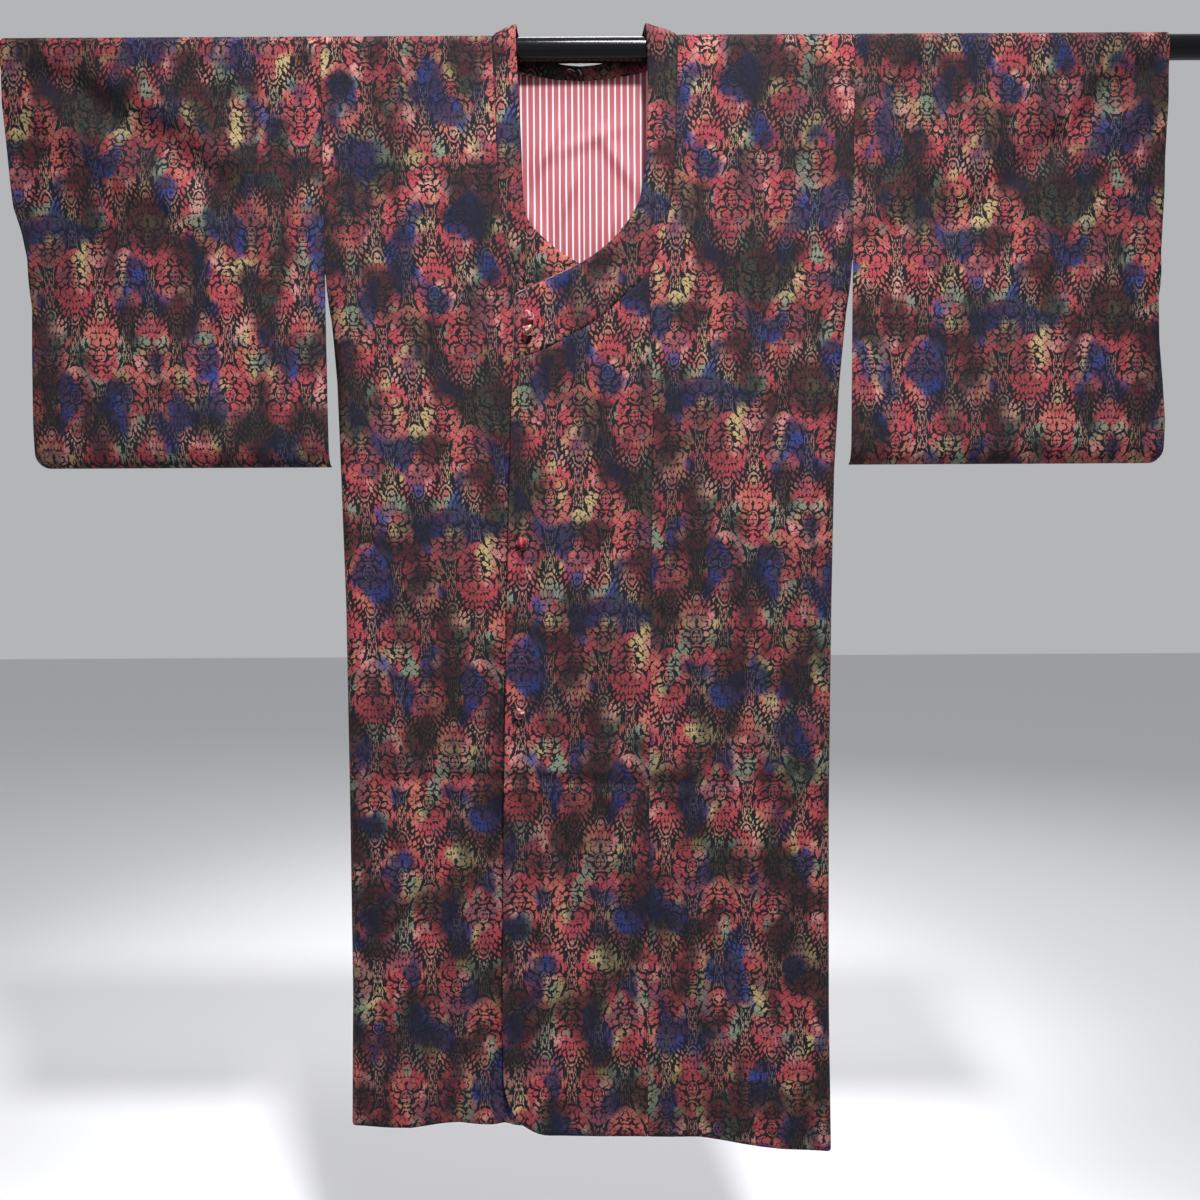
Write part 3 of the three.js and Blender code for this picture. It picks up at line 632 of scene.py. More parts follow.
def printed_crepe():
    """Black crepe with the damask printed in soft blotches of many colours."""
    material, tree, shader = new_material("printed_crepe")
    spot = cloth_spot(tree)
    waver = {"Vector": spot, "Scale": 0.2, "Detail": 1.0}
    shake = put(tree, "ShaderNodeTexNoise", {}, waver, output=1)
    spread = shake.vector("MULTIPLY_ADD", (4.0, 4.0, 0), (-2.0, -2.0, 0))
    u, v = across_and_up(spot.vector("ADD", spread))
    wide, tall = REPEAT_WIDE / 2, REPEAT_TALL / 2
    xa = abs(u.math("WRAP", wide, -wide))
    ya = v.math("WRAP", tall, -tall)
    reach = (ya * (math.pi / tall)).math("COSINE").math("MULTIPLY_ADD", FIELD_WAVE, wide / 2)
    turned = xa.math("GREATER_THAN", reach)
    x = xa + turned * (wide - xa * 2)
    y = ya + turned * (ya.math("SIGN") * tall - ya * 2)
    p = put(tree, "ShaderNodeCombineXYZ", {}, {0: x, 1: y})
    ragged = noise(spot, 0.55, 2.0, 0.6) - 0.5
    broken = noise(spot, 0.3, 1.0) - 0.5
    solid = medallion(p, x, y) + ragged * RAGGED_SOLID
    solid = (solid * EDGE_SHARPNESS + 0.5).clamped()
    fine = fine_lines(p, x, y) + ragged * RAGGED_LINE + broken * LINE_BREAKS
    fine = (fine * EDGE_SHARPNESS + 0.5).clamped()
    motif = solid.higher(fine * 0.75)

    ink = linear(142, 57, 64)
    for colour, width, height, free, softness, cover, seed in INKS:
        mask = blotch(spot, width, height, free, softness, seed)
        ink = mixed(mask * cover, ink, linear(*colour))
    navy = blotch(spot, *NAVY)
    bright_blue = navy * blotch(spot, *BRIGHT_BLUE)
    dim, cloud = blotch(spot, *DIM), blotch(spot, *CLOUD)
    ink = mixed(navy * 0.8, ink, linear(38, 44, 76))
    ink = mixed(bright_blue * 0.9, ink, linear(52, 68, 142))
    ground = mixed(navy * 0.8, linear(23, 22, 24), linear(18, 21, 42))
    ground = mixed(dim * 0.45, ground, linear(18, 17, 20))
    pale = mixed(fine * (1 - solid) * 0.25, ink, linear(184, 160, 142))
    rubbed = noise(spot, 0.16, 2.0, 0.6) * 0.7 + 0.55
    speck = noise(spot, 0.85, 2.0, 0.7) * 1.5 + 0.25
    strength = (1 - dim * 0.85) * (1 - navy * 0.5) * rubbed * (cloud * 0.6 + 0.65) * speck
    base = mixed((motif * strength).clamped(), ground, pale)
    crimp = noise(spot.vector("MULTIPLY", (1.0, 0.42, 1)), 1.5, 3.0, 0.65)
    feed(
        shader,
        Base_Color=base,
        Roughness=crimp * 0.2 + 0.72,
        Specular_IOR_Level=0.15,
        Normal=bumped(crimp, 0.0005),
    )
    return material


STRIPE_PITCH, STRIPE_WHITE, HAIRLINE = 7.25, 1.9, 1.0


def striped_lining():
    """Rose lining with a fine white stripe down the cloth, and a darker hair line between two."""
    material, tree, shader = new_material("striped_lining")
    spot = cloth_spot(tree)
    u, v = across_and_up(spot)
    wave = u.math("WRAP", STRIPE_PITCH / 2, -STRIPE_PITCH / 2)
    stripe = ((STRIPE_WHITE / 2 - abs(wave)) * 3 + 0.5).clamped()
    hair = ((HAIRLINE / 2 - abs(abs(wave) - STRIPE_PITCH / 2)) * 3 + 0.5).clamped()
    shade = noise(spot.vector("MULTIPLY", (0.02, 0.012, 0)), 1.0, 3.0, 0.6)
    rose = mixed(shade, linear(133, 42, 56), linear(153, 62, 73))
    base = mixed(hair * 0.4, rose, linear(126, 58, 70))
    base = mixed(stripe * 0.95, base, linear(189, 183, 186))
    weave = (u * 5.2).math("SINE") * (v * 5.2).math("SINE")
    feed(shader, Base_Color=base, Roughness=shade * 0.2 + 0.5, Normal=bumped(weave, 0.00008))
    return material


crepe = printed_crepe()
lining_cloth = striped_lining()


def dress(piece, node):
    """Puts a finished piece in its solid's place."""
    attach(piece, ROOT)
    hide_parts(node)


def side_x(side, drop):
    return look_up(BODY_SIDE, drop, COLUMN[side])


def hem_drop(side, x):
    return look_up(FRONT_HEM, SIGN[side] * np.asarray(x), COLUMN[side])


def body_row(side, inner_x, run, columns=44, round_columns=8):
    """x, run and how far closed along one row of a body panel, from its inner edge to its side."""
    drop = max(0.0, drop_at(run))
    below = drop - ARMHOLE_DROP[side]
    sewn = smooth(below / SEWN_BLEND)
    edge = ARMHOLE[side] + (side_x(side, drop) - ARMHOLE[side]) * np.clip(below / 20 + 0.5, 0, 1)
    edge -= SEAM_GAP / 2 if below < 0 else SEAM_GAP
    bend = ROUND_SIDE + (ROUND_HEM - ROUND_SIDE) * smooth((drop - HEM_BEND_FROM) / HEM_BEND_OVER)
    flat = from_edge(inner_x, edge - bend, columns)
    share = np.linspace(0, 1, round_columns + 1)[1:]
    turn = np.sin(share * math.pi / 2)
    rounded = edge - bend + bend * (share + (turn - share) * sewn)
    x = np.concatenate([flat, rounded])
    close = np.concatenate([np.zeros(columns), sewn * turn])
    return x, np.full_like(x, run), close


EDGE_STOPS = np.array([0, 1.0, 2.2, 3.8, 6.0, 9.0])


def from_edge(start, end, count):
    """Places from start to end, closer together near the start, where a seam pulls the cloth in."""
    rest = np.linspace(start + EDGE_STOPS[-1], end, count - len(EDGE_STOPS) + 1)
    return np.concatenate([start + EDGE_STOPS[:-1], rest])


SEAM_DEPTH, SEAM_WIDTH = 0.5, 2.4


def seam_dip(distance):
    """How far a seam pulls the cloth in at a distance from it, both in mm."""
    return -SEAM_DEPTH * bell(distance, SEAM_WIDTH)


# Where one medallion's middle lies on each panel, in x and drop, how wide and tall a repeat
# is there, as the crepe gives, and how far its columns lean inwards by a drop in mm.
PRINT = {
    "body_left": (164, 448, 62, 134, 16, 900),
    "body_right": (-120, 594, 62, 133, 27, 620),
    "overlap_left": (53.6, 700, 62.6, 140, 22, 1100),
    "overlap_right": (-20, 640, 62, 136, 0, 1),
    "collar_left": (88, 240, 62, 136, 0, 1),
    "collar_right": (-57, 168, 62, 136, 0, 1),
    "sleeve_left": (506, 362, 60.4, 131, 0, 1),
    "sleeve_right": (-572, 261, 57.9, 131, 0, 1),
}


def laid_out(panel, x, run):
    """Where a place of a panel lies on the printed cloth, in mm from a medallion's middle."""
    at_x, at_drop, width, height, lean, reach = PRINT[panel]
    drop = np.maximum(0, drop_at(run))
    leaned = (np.clip(drop / reach, 0, 1) - min(at_drop / reach, 1)) * lean
    u = x + math.copysign(1, at_x) * leaned - at_x
    return np.stack([u * REPEAT_WIDE / width, (run_at(at_drop) - run) * REPEAT_TALL / height], -1)


def sewn_panel(name, node, turn_in, flat, x, run, lift, close=0.0):
    """Hangs one panel of lined crepe, whose cut is flat, from where its cloth lies."""
    points = drape(x, run, lift, close)
    panel = wall(name, points, laid_out(node, x, run), WALL["body"], crepe, lining_cloth, turn_in)
    dress(panel, node)


for side, sign in SIGN.items():
    top = along(neck[side], CROSSING, 1) - SHOULDER_RUN
    seam_hem = hem_drop(side, OVERLAP_SEAM[-1][1])
    rows = []
    skirt = int((seam_hem - top) / CELL)
    for share in np.linspace(1, 0, skirt + 1)[:-1]:
        drop = top + (seam_hem - top) * share
        inner = look_up(OVERLAP_SEAM, drop, COLUMN[side]) + SEAM_GAP / 2
        x, run, close = body_row(side, inner, run_at(drop))
        rows.append((x, run + (hem_drop(side, x) - seam_hem) * share, close))
    for at in neck_stations(CROSSING):
        x, run = seam_place(side, at, 1)
        rows.append(body_row(side, max(float(x), SEAM_GAP / 2), float(run)))
    back = -float(rows[-1][1][0])
    length = run_at(BACK_HEM_MIDDLE) - back
    side_hem = hem_drop(side, side_x(side, BACK_HEM_MIDDLE))
    for share in np.linspace(0, 1, int(length / CELL))[1:]:
        x, run, close = body_row(side, SEAM_GAP / 2, -(back + length * share))
        rows.append((x, run - (side_hem - BACK_HEM_MIDDLE) * share * x / x[-1], close))
    x, run, close = (np.array([row[k] for row in rows]) for k in range(3))
    lift = np.where(run > 0, layer_of(side, x, run), 0) * (close <= 0) + seam_dip(x - x[:, :1])
    draped = sign * x, run, lift, close
    sewn_panel(f"body_panel_{side}", f"body_{side}", (3, 3, 0, 0), (0.305, 2.55), *draped)

# ---- Overlap panels ----
# A narrow length sewn to each front from the collar to the hem, so that the fronts lap widely.
# The left one lies on top, with a rounded corner at its hem.
HEM_CORNER = {"left": (54, 74), "right": (4, 4)}
# Columns over the front neck, the width they are spaced by, and the panel's length in mm.
TOP_COLUMNS, TOP_WIDTH, OVERLAP_LONG = 18, 160, 1000
# The doubled edges' puff, its place from the edge and its width, then the edge's own rounding.
PUFF, PUFF_AT, PUFF_WIDTH, EDGE_ROUND, EDGE_WIDTH = 0.8, 6, 4, 0.5, 2


def round_corner(x, drop, corner_x, corner_drop, width, height):
    """The square corner of a panel drawn in to a round one."""
    inwards = -np.sign(corner_x)
    out = (corner_x + inwards * width - x) / (inwards * width)
    down = (drop - (corner_drop - height)) / height
    inside = (out > 0) & (down > 0)
    pull = np.where(inside, np.maximum(out, down) / np.maximum(np.hypot(out, down), 1e-6), 1.0)
    return x + (1 - pull) * out * inwards * width, drop - (1 - pull) * down * height


def puffed(distance):
    return PUFF * bell(distance - PUFF_AT, PUFF_WIDTH)


for side, sign in SIGN.items():
    column = COLUMN[side]
    stops = from_edge(0, TOP_WIDTH / 2, TOP_COLUMNS)
    stops = np.concatenate([stops, TOP_WIDTH - stops[-2::-1]]) / TOP_WIDTH
    top_x, top_run = seam_place(side, stops * CROSSING, 1)
    top_drop = top_run - SHOULDER_RUN
    seam_hem = hem_drop(side, OVERLAP_SEAM[-1][column])
    corner_x = -OVERLAP_EDGE[-1][column]
    across = (top_x - top_x[0]) / (top_x[-1] - top_x[0])
    share = np.linspace(1, 0, int(OVERLAP_LONG / CELL))[:, None]
    seam_x = look_up(OVERLAP_SEAM, top_drop[-1] + (seam_hem - top_drop[-1]) * share, column)
    seam_x = seam_x - SEAM_GAP / 2
    edge_x = -look_up(OVERLAP_EDGE, top_drop + (seam_hem - top_drop) * share, column)
    x = edge_x + (seam_x - edge_x) * across
    blend = smooth(share / 0.06)
    x = np.minimum(top_x, seam_x) * (1 - blend) + x * blend
    drop = top_drop + (hem_drop(side, x) - top_drop) * share
    x, drop = round_corner(x, drop, corner_x, hem_drop(side, corner_x), *HEM_CORNER[side])
    run = run_at(drop)
    inwards = x - x[:, :1]
    puff = puffed(inwards) - EDGE_ROUND * bell(inwards, EDGE_WIDTH)
    hem_puff = puffed(hem_drop(side, x) - drop)
    curl = EDGE_CURL * (side == "left") * bell(inwards, CURL_WIDTH) * loosening(drop)
    layer = layer_of(side, x, run)
    draped = sign * x, run, layer + seam_dip(x[:, -1:] - x) + puff + hem_puff + curl
    sewn_panel(f"overlap_panel_{side}", f"overlap_{side}", (3, 0, 3, 0), (0.17, 1.0), *draped)

# ---- Collar ----
# One doubled strip of the same crepe, sewn round the neck from front end to front end. It
# stands off the rod at the sides of the neck and sinks behind it at the back.
COLLAR_COLUMNS = 13
# The roll along its free edge: height in mm, place and width as shares of the collar's width.
ROLL, ROLL_AT, ROLL_WIDTH = 0.6, 0.93, 0.07
grid, laid = [], []
stations = neck_stations(0)
for side, ats in (("right", stations), ("left", stations[::-1][1:])):
    share = np.linspace(0, 1, COLLAR_COLUMNS)
    seam_x, seam_run = seam_place(side, ats, -1)
    rows = neck[side]
    edge_x, edge_run, rise = (along(rows, ats, column) for column in (2, 3, 4))
    x = seam_x[:, None] + (edge_x - seam_x)[:, None] * share
    run = seam_run[:, None] + (edge_run - seam_run)[:, None] * share
    layer = np.where(run > 0, layer_of(side, x, run), 0.0)
    from_seam = share * np.hypot(edge_x - seam_x, edge_run - seam_run)[:, None]
    soft = ROLL * bell(share - ROLL_AT, ROLL_WIDTH) + seam_dip(from_seam)
    points = drape(SIGN[side] * x, run, layer + rise[:, None] * share**0.75 + soft)
    grid.append(points)
    laid.append(laid_out(f"collar_{side}", SIGN[side] * x, run))
points = np.concatenate(grid)
collar = wall("collar_strip", points, np.concatenate(laid), WALL["collar"], crepe)
dress(collar, "collar")

# ---- Back lining ----
# The inside of the back, in rose cloth with white stripes and a seam down its middle. It is
# built where the open neck shows it.
# Drop of its top, under the seam that joins it to the collar: x, drop.
LINING_TOP = [(0, 29.5), (29, 27.5), (65, 21.5), (91, 12.5), (112, 12.5)]
# Its soft creases: x, drop, the angle across them and their depth.
LINING_CREASES = [
    (-42, 110, 0.5, 4.6), (-18, 160, 0.35, 4.0), (44, 120, -0.6, 5.0), (30, 205, 0.25, 3.8),
    (-50, 200, -0.3, 4.0), (8, 95, 1.2, 3.2),
]
CREASE_WIDE, CREASE_LONG = 8, 40
LINING_LIFT = -(WALL["body"] + WALL["lining"]) / 2 - 2 * SEAM_GAP
LINING_HALF, LINING_END, LINING_COLUMNS, LINING_ROWS = 112, 330, 81, 61
# How far its stripes are taken in at its seam on each side, where the first one lies, and how
# shallow that seam is beside the coat's own.
TAKEN_IN, FIRST_STRIPE, LINING_SEAM = 1.0, 3.4, 0.4
share = np.linspace(0, 1, LINING_ROWS)[:, None]
x = LINING_HALF * np.linspace(-1, 1, LINING_COLUMNS)[None, :] + 0 * share
top = look_up(LINING_TOP, np.abs(x), 1)
drop = top * (1 - share) + LINING_END * share
run = -run_at(drop)
creased = 0
for x0, d0, a, height in LINING_CREASES:
    crosswise = (x - x0) * math.cos(a) + (drop - d0) * math.sin(a)
    lengthwise = (x - x0) * math.sin(a) - (drop - d0) * math.cos(a)
    creased = creased + height * bell(crosswise, CREASE_WIDE) * bell(lengthwise, CREASE_LONG)
points = drape(x, run, LINING_LIFT - np.abs(creased) + seam_dip(x) * LINING_SEAM)
cloth = np.stack([x + np.where(x > 0, TAKEN_IN, -TAKEN_IN) + FIRST_STRIPE, -run], -1)
lining = wall("lining_panel", points, cloth, WALL["lining"], lining_cloth)
dress(lining, "lining_back")

# ---- Sleeves ----
# Each is one length folded over the rod, sewn along the bottom and up the cuff side as far as
# the wrist opening, and left open on the body's side under the armhole.
SLEEVE_BOTTOM, CUFF_OPEN, SLEEVE_CORNER, ROUND_BOTTOM = 463, 222, 16, 26
# How far the back's open edge lies inside the front's, and from where over how many mm it goes in.
BACK_TUCK, TUCK_ABOVE, TUCK_OVER = 8, 18, 26
# Where the flat spacing of the columns ends, how many there are, and the rows of one face, of
# the bend at the bottom and of the way over the rod.
SLEEVE_FLAT, SLEEVE_COLUMNS, FACE_ROWS, BEND_ROWS, RIDGE_ROWS, CUFF_COLUMNS = 640, 58, 74, 13, 25, 9
# The cuff's edge: drop, left, right.
SLEEVE_EDGE = [
    (0, 654, 643), (60, 653.5, 643), (128, 652, 639), (172, 652, 636), (200, 651, 628),
    (230, 650, 623), (282, 654, 624), (326, 656, 625), (371, 661, 626), (416, 665, 627),
    (463, 664, 626),
]
for side, sign in SIGN.items():
    hanging = np.linspace(0, SLEEVE_BOTTOM - ROUND_BOTTOM, FACE_ROWS)[1:]
    turn = np.linspace(0, math.pi / 2, BEND_ROWS)[1:]
    half_drop = np.concatenate([hanging, SLEEVE_BOTTOM - ROUND_BOTTOM * (1 - np.sin(turn))])
    half_close = np.concatenate([hanging * 0, np.sin(turn)])
    ridge_run = np.linspace(SHOULDER_RUN, -SHOULDER_RUN, RIDGE_ROWS)
    run = np.concatenate([run_at(half_drop)[::-1], ridge_run, -run_at(half_drop)])[:, None]
    close_down = np.concatenate([half_close[::-1], ridge_run * 0, half_close])[:, None]
    drop = np.maximum(0, drop_at(run))
    sewn = smooth((drop - CUFF_OPEN) / SEWN_BLEND)
    edge = look_up(SLEEVE_EDGE, drop, COLUMN[side])
    start = ARMHOLE[side] + SEAM_GAP / 2
    flat_share = (from_edge(start, SLEEVE_FLAT, SLEEVE_COLUMNS) - start) / (SLEEVE_FLAT - start)
    tuck = smooth((drop - ARMHOLE_DROP[side] + TUCK_ABOVE) / TUCK_OVER)
    start = start + BACK_TUCK * (run < 0) * tuck
    flat = start + (edge - ROUND_SIDE - start) * flat_share
    share = np.linspace(0, 1, CUFF_COLUMNS)[1:]
    bend = np.sin(share * math.pi / 2)
    rounded = edge - ROUND_SIDE + ROUND_SIDE * (share + (bend - share) * sewn)
    x = np.concatenate([flat, rounded], 1)
    close_out = np.concatenate([flat * 0, sewn * bend], 1)
    close = np.sqrt(1 - (1 - close_down**2) * (1 - close_out**2))
    cx, cdrop = round_corner(-x, drop + x * 0, -edge, SLEEVE_BOTTOM, SLEEVE_CORNER, SLEEVE_CORNER)
    run = np.where(np.abs(run) <= SHOULDER_RUN, run + x * 0, np.sign(run) * run_at(cdrop))
    dip = seam_dip(x - x[:, :1]) * 0.5 * (drop < ARMHOLE_DROP[side])
    draped = sign * -cx, run, dip, close
    sewn_panel(f"sleeve_cloth_{side}", f"sleeve_{side}", (0, 0, 6, 3), (0.368, 0.98), *draped)

# ---- Collar's edge cord, a painted highlight ----
# The front end and the free edge of the collar's left end carry a fine pale cord: a painted
# highlight, standing in for the light that this rolled edge catches.


def node_group(name, **inputs):
    """A Geometry Nodes group with those inputs: itself, their identifiers and their values."""
    group = bpy.data.node_groups.new(name, "GeometryNodeTree")
    group.interface.new_socket("Made", in_out="OUTPUT", socket_type="NodeSocketGeometry")
    ids = {}
    for label, kind in inputs.items():
        socket = group.interface.new_socket(label, in_out="INPUT", socket_type="NodeSocket" + kind)
        ids[label] = socket.identifier
    values = [put(group, "NodeGroupInput", {}, {}, output=k) for k in range(len(inputs))]
    return group, ids, *values


def grow(group, kind, **sockets):
    """One geometry node, its sockets named with _ for a space."""
    values = {name.replace("_", " "): value for name, value in sockets.items()}
    return put(group, "GeometryNode" + kind, {}, values)


def round_cord(group, route, steps, radius, caps):
    """A cord along a curve, round with that many steps."""
    section = grow(group, "CurvePrimitiveCircle", Resolution=steps, Radius=radius)
    return grow(group, "CurveToMesh", Curve=route, Profile_Curve=section, Fill_Caps=caps)


def close_group(group, geometry, cloth):
    """Ends a group: its instances made real and its material set."""
    real = grow(group, "RealizeInstances", Geometry=geometry)
    put(group, "NodeGroupOutput", {}, {0: grow(group, "SetMaterial", Geometry=real, Material=cloth)})


def grown(name, line, group, ids, **values):
    """The plain mesh that a group makes from a line of points in mm, as an object."""
    seed_mesh = bpy.data.meshes.new(name + "_line")
    edges = [(k, k + 1) for k in range(len(line) - 1)]
    seed_mesh.from_pydata([tuple(float(c) * MM for c in point) for point in line], edges, [])
    seed = added(name + "_line", seed_mesh)
    modifier = seed.modifiers.new("grown", "NODES")
    modifier.node_group = group
    for label, value in values.items():
        modifier[ids[label]] = value
    graph = bpy.context.evaluated_depsgraph_get()
    mesh = bpy.data.meshes.new_from_object(seed.evaluated_get(graph), depsgraph=graph)
    bpy.data.objects.remove(seed)
    mesh.shade_smooth()
    return added(name, mesh)


cord_group, cord_ids, line, thickness, cloth = node_group(
    "cord_on_a_line", Line="Geometry", Thickness="Float", Cloth="Material"
)
route = grow(cord_group, "MeshToCurve", Mesh=line)
close_group(cord_group, round_cord(cord_group, route, 8, thickness / 2, True), cloth)

# Painted highlight: the cord's pale, patchy colour stands in for the light caught on the collar's
# edge.
painted_highlight_cloth, tree, shader = new_material("painted_highlight_edge_cloth")
patches = ((noise(object_place(tree), 120.0, 2.0) - 0.5) * 6).clamped()
pale = mixed(patches, linear(92, 50, 56), linear(176, 128, 124))
feed(shader, Base_Color=pale, Roughness=0.7)
# How thick it is, how far it lies outside the collar's end and over its edge, and how far it
# stands off along the edge.
CORD_THICK, PAST_FRONT, OVER_EDGE, CORD_STAND = 1.2, 0.3, 0.6, 0.5
rows = neck["left"]
seam_x, seam_run, edge_x, edge_run = (along(rows, 0, column) for column in range(4))
up_end = np.linspace(0, 1, 14)[:, None]
end_x, end_run = seam_x + (edge_x - seam_x) * up_end, seam_run + (edge_run - seam_run) * up_end
on_edge = np.linspace(0, CROSSING, 60)[1:, None]
cord_x = np.concatenate([end_x - PAST_FRONT, along(rows, on_edge, 2)])
cord_run = np.concatenate([end_run, along(rows, on_edge, 3) - OVER_EDGE])
stand = np.concatenate([0 * end_x, CORD_STAND + 0 * on_edge])
cord_line = drape(cord_x, cord_run, left_layer(cord_x, cord_run) + stand)[:, 0]
sizes = {"Thickness": CORD_THICK * MM, "Cloth": painted_highlight_cloth}
edge_highlight_cord = grown("collar_edge_highlight_cord", cord_line, cord_group, cord_ids, **sizes)
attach(edge_highlight_cord, ROOT)

# ---- Thread ends ----
# Two short ends of white thread, left in the back neck where a tag was tacked on.
thread_white, tree, shader = new_material("white_thread")
feed(shader, Base_Color=linear(226, 222, 216), Roughness=0.6)
# Their x and drop, end to end.
THREADS = [
    [(-15, 17.0), (-12, 15.6), (-9, 16.6), (-6.5, 18.4)],
    [(-2.6, 16.0), (-0.8, 18.0), (0.6, 21.4)],
]
THREAD_THICK, THREAD_GAP, THREAD_CURL = 0.5, 0.3, 0.5
for k, stops in enumerate(THREADS):
    at = np.linspace(0, len(stops) - 1, 20)
    x, drop = along(stops, at, 0), along(stops, at, 1)
    inside = -(WALL["collar"] + THREAD_THICK) / 2 - THREAD_GAP - THREAD_CURL * np.sin(at * 2)
    thread_line = drape(x, -run_at(drop), inside)
    sizes = {"Thickness": THREAD_THICK * MM, "Cloth": thread_white}
    thread = grown(f"thread_end_{k}", thread_line, cord_group, cord_ids, **sizes)
    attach(thread, ROOT)

# ---- Buttons ----
# Balls knotted from a narrow tube of the coat's cloth, on the left front's edge: a pair at the
# collar's end and two single ones below it. Each shows a different patch of the print.
# Its node, its turns about X, Y and Z, its patches' colours and the groove's: the dark colour of the
# painted shade down between its cords, also laid on random lines.
BUTTONS = [
    ("button_top", (0.5, 0.3, 0.2), (186, 116, 124), (168, 66, 82), (60, 24, 32)),
    ("button_second", (0.9, 1.4, 0.1), (172, 154, 116), (180, 94, 98), (56, 28, 30)),
    ("button_middle", (1.5, 0.5, 0.3), (178, 54, 68), (150, 34, 50), (56, 14, 22)),
    ("button_low", (1.1, 2.2, 0.5), (190, 122, 114), (124, 62, 58), (50, 26, 26)),
]
BUTTON_FLAT = 0.86  # its depth as a share of its width
# All as shares of the ball's radius: the cord's own, how far it dips under and over itself, how
# near it comes to the poles, in radians, and the filling's radius.
CORD_SHARE, WEAVE, REACH, FILLING = 0.27, 0.11, 1.05, 0.76


def knot_cloth(name, first, second, groove_shade):
    """The crepe of one button, with its own patches of print, and painted shade down between its
    cords.
    """
    material, tree, shader = new_material(name)
    place = object_place(tree)
    patches = ((noise(place, 170.0, 1.0) - 0.47) * 9).clamped()
    lines = ((noise(place, 420.0, 1.0) - 0.56) * 12).clamped()
    crimp = noise(place, 1500.0, 2.0)
    height = put(tree, "ShaderNodeAttribute", {"attribute_name": "height"}, {}, output=2)
    # Painted shade: the groove colour where the surface lies near the ball's middle, down between
    # the cords, and on random dark lines.
    groove_shade_mask = ((0.88 - height) * 7).clamped()
    base = mixed(patches, linear(*first), linear(*second))
    base = mixed(groove_shade_mask.higher(lines * 0.6), base, linear(*groove_shade))
    feed(shader, Base_Color=base, Roughness=0.72, Normal=bumped(crimp, 0.0003))
    return material


knot_group, knot_ids, centre, turn, half, cloth = node_group(
    "knotted_ball", Centre="Vector", Turn="Vector", Half="Vector", Cloth="Material"
)
loop = grow(knot_group, "CurvePrimitiveCircle", Resolution=96, Radius=1.0)
t = grow(knot_group, "SplineParameter") * (2 * math.pi)
north = (t * 3).math("SINE") * REACH
out = (t * 3).math("COSINE") * WEAVE + (1 - WEAVE - CORD_SHARE)
flat = north.math("COSINE") * out
path = ((t * 2).math("COSINE") * flat, north.math("SINE") * out, (t * 2).math("SINE") * flat)
place = put(knot_group, "ShaderNodeCombineXYZ", {}, dict(enumerate(path)))
knot = grow(knot_group, "SetPosition", Geometry=loop, Position=place)
cord = round_cord(knot_group, knot, 12, CORD_SHARE, False)
core = grow(knot_group, "MeshIcoSphere", Radius=FILLING, Subdivisions=3)
ball = grow(knot_group, "JoinGeometry", Geometry=[cord, core])
# The distance from the ball's middle, kept for the painted shade between the cords.
height = grow(knot_group, "InputPosition").vector("LENGTH", output=1)
kind = {"data_type": "FLOAT", "domain": "POINT"}
mark = {"Geometry": ball, "Name": "height", "Value": height}
marked = put(knot_group, "GeometryNodeStoreNamedAttribute", kind, mark)
turned = grow(knot_group, "Transform", Geometry=marked, Rotation=turn)
placed = grow(knot_group, "Transform", Geometry=turned, Translation=centre, Scale=half)
close_group(knot_group, placed, cloth)

for node, turns, *colours in BUTTONS:
    low, high = (Vector(corner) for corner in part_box(node))
    half = (high.x - low.x) / 2
    sizes = {"Centre": tuple((low + high) / 2), "Half": (half, half * BUTTON_FLAT, half)}
    sizes.update(Turn=turns, Cloth=knot_cloth(node + "_cloth", *colours))
    knot = grown(node + "_knot", [(0, 0, 0)], knot_group, knot_ids, **sizes)
    dress(knot, node)

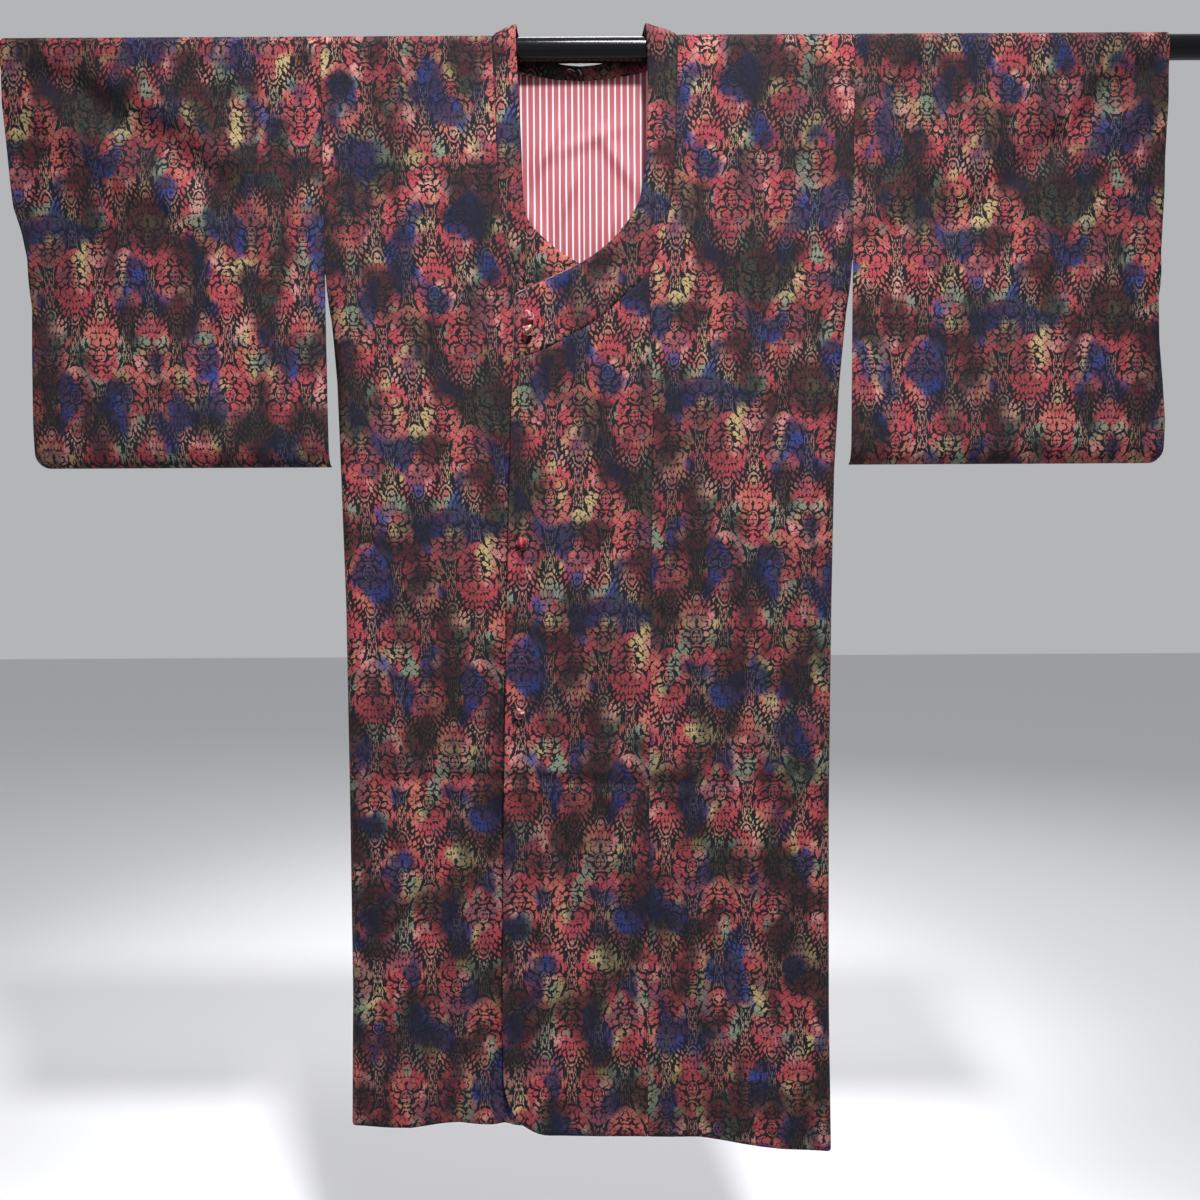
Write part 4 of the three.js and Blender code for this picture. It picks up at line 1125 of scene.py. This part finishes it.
# ---- Camera, floor and light ----
# The coat is seen square on from the front, from the height of its waist. One lamp stands high in
# front of it, and the room lights the rest softly.
CAMERA_PLACE, CAMERA_TILT, CAMERA_ROLL = (0.019, -1.385, -0.521), 86, -0.3
camera_data = bpy.data.cameras.new("camera")
camera_data.lens, camera_data.sensor_width = 36.0, 36.0
camera = added("camera", camera_data)
camera.matrix_world = (
    Matrix.Translation(CAMERA_PLACE)
    @ Matrix.Rotation(math.radians(CAMERA_TILT), 4, "X")
    @ Matrix.Rotation(math.radians(CAMERA_ROLL), 4, "Z")
)
bpy.context.scene.camera = camera

FLOOR_Z, FLOOR_HALF = -1.62, 8
turns = ((-1, -1), (1, -1), (1, 1), (-1, 1))
corners = [(x * FLOOR_HALF, y * FLOOR_HALF, FLOOR_Z) for x, y in turns]
floor_mesh = bpy.data.meshes.new("floor")
floor_mesh.from_pydata(corners, [], [(0, 1, 2, 3)])
floor = added("floor", floor_mesh)
floor_white, tree, shader = new_material("floor_white")
feed(shader, Base_Color=(0.7, 0.7, 0.72, 1), Roughness=0.9)
floor_mesh.materials.append(floor_white)
floor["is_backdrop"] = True

world = bpy.data.worlds.new("world")
bpy.context.scene.world = world
world.use_nodes = True
sky = world.node_tree.nodes["Background"].inputs
sky["Color"].default_value, sky["Strength"].default_value = (0.93, 0.94, 0.97, 1), 0.49
# Its kind, its place, what it aims at, how wide it is and its power in watts.
LIGHTS = {
    "key": ("SPOT", (0.42, -1.8, 2.0), (0, 0, -0.6), 0.3, 750),
    "fill": ("AREA", (-1.8, -2.2, 0.0), (0, 0, -0.6), 2.0, 10),
    "top": ("AREA", (0.1, -0.9, 1.7), (0, 0, -0.1), 0.4, 26),
    "back": ("AREA", (0.6, 2.2, 1.2), (0, 0, -0.4), 2.0, 60),
}
KEY_CONE = 38
for name, (kind, place, aim, wide, power) in LIGHTS.items():
    data = bpy.data.lights.new(name, kind)
    data.energy = power
    if kind == "AREA":
        data.shape, data.size = "DISK", wide
    else:
        data.shadow_soft_size, data.spot_size, data.spot_blend = wide / 2, math.radians(KEY_CONE), 1
    lamp = added(name, data)
    turned = (Vector(aim) - Vector(place)).to_track_quat("-Z", "Y").to_matrix().to_4x4()
    lamp.matrix_world = Matrix.Translation(place) @ turned
bpy.context.scene.view_settings.view_transform = "Standard"

visual_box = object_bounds()
sizes = {"cad": [list(map(float, corner)) for corner in cad_box]}
sizes["visual"] = [list(map(float, corner)) for corner in visual_box]
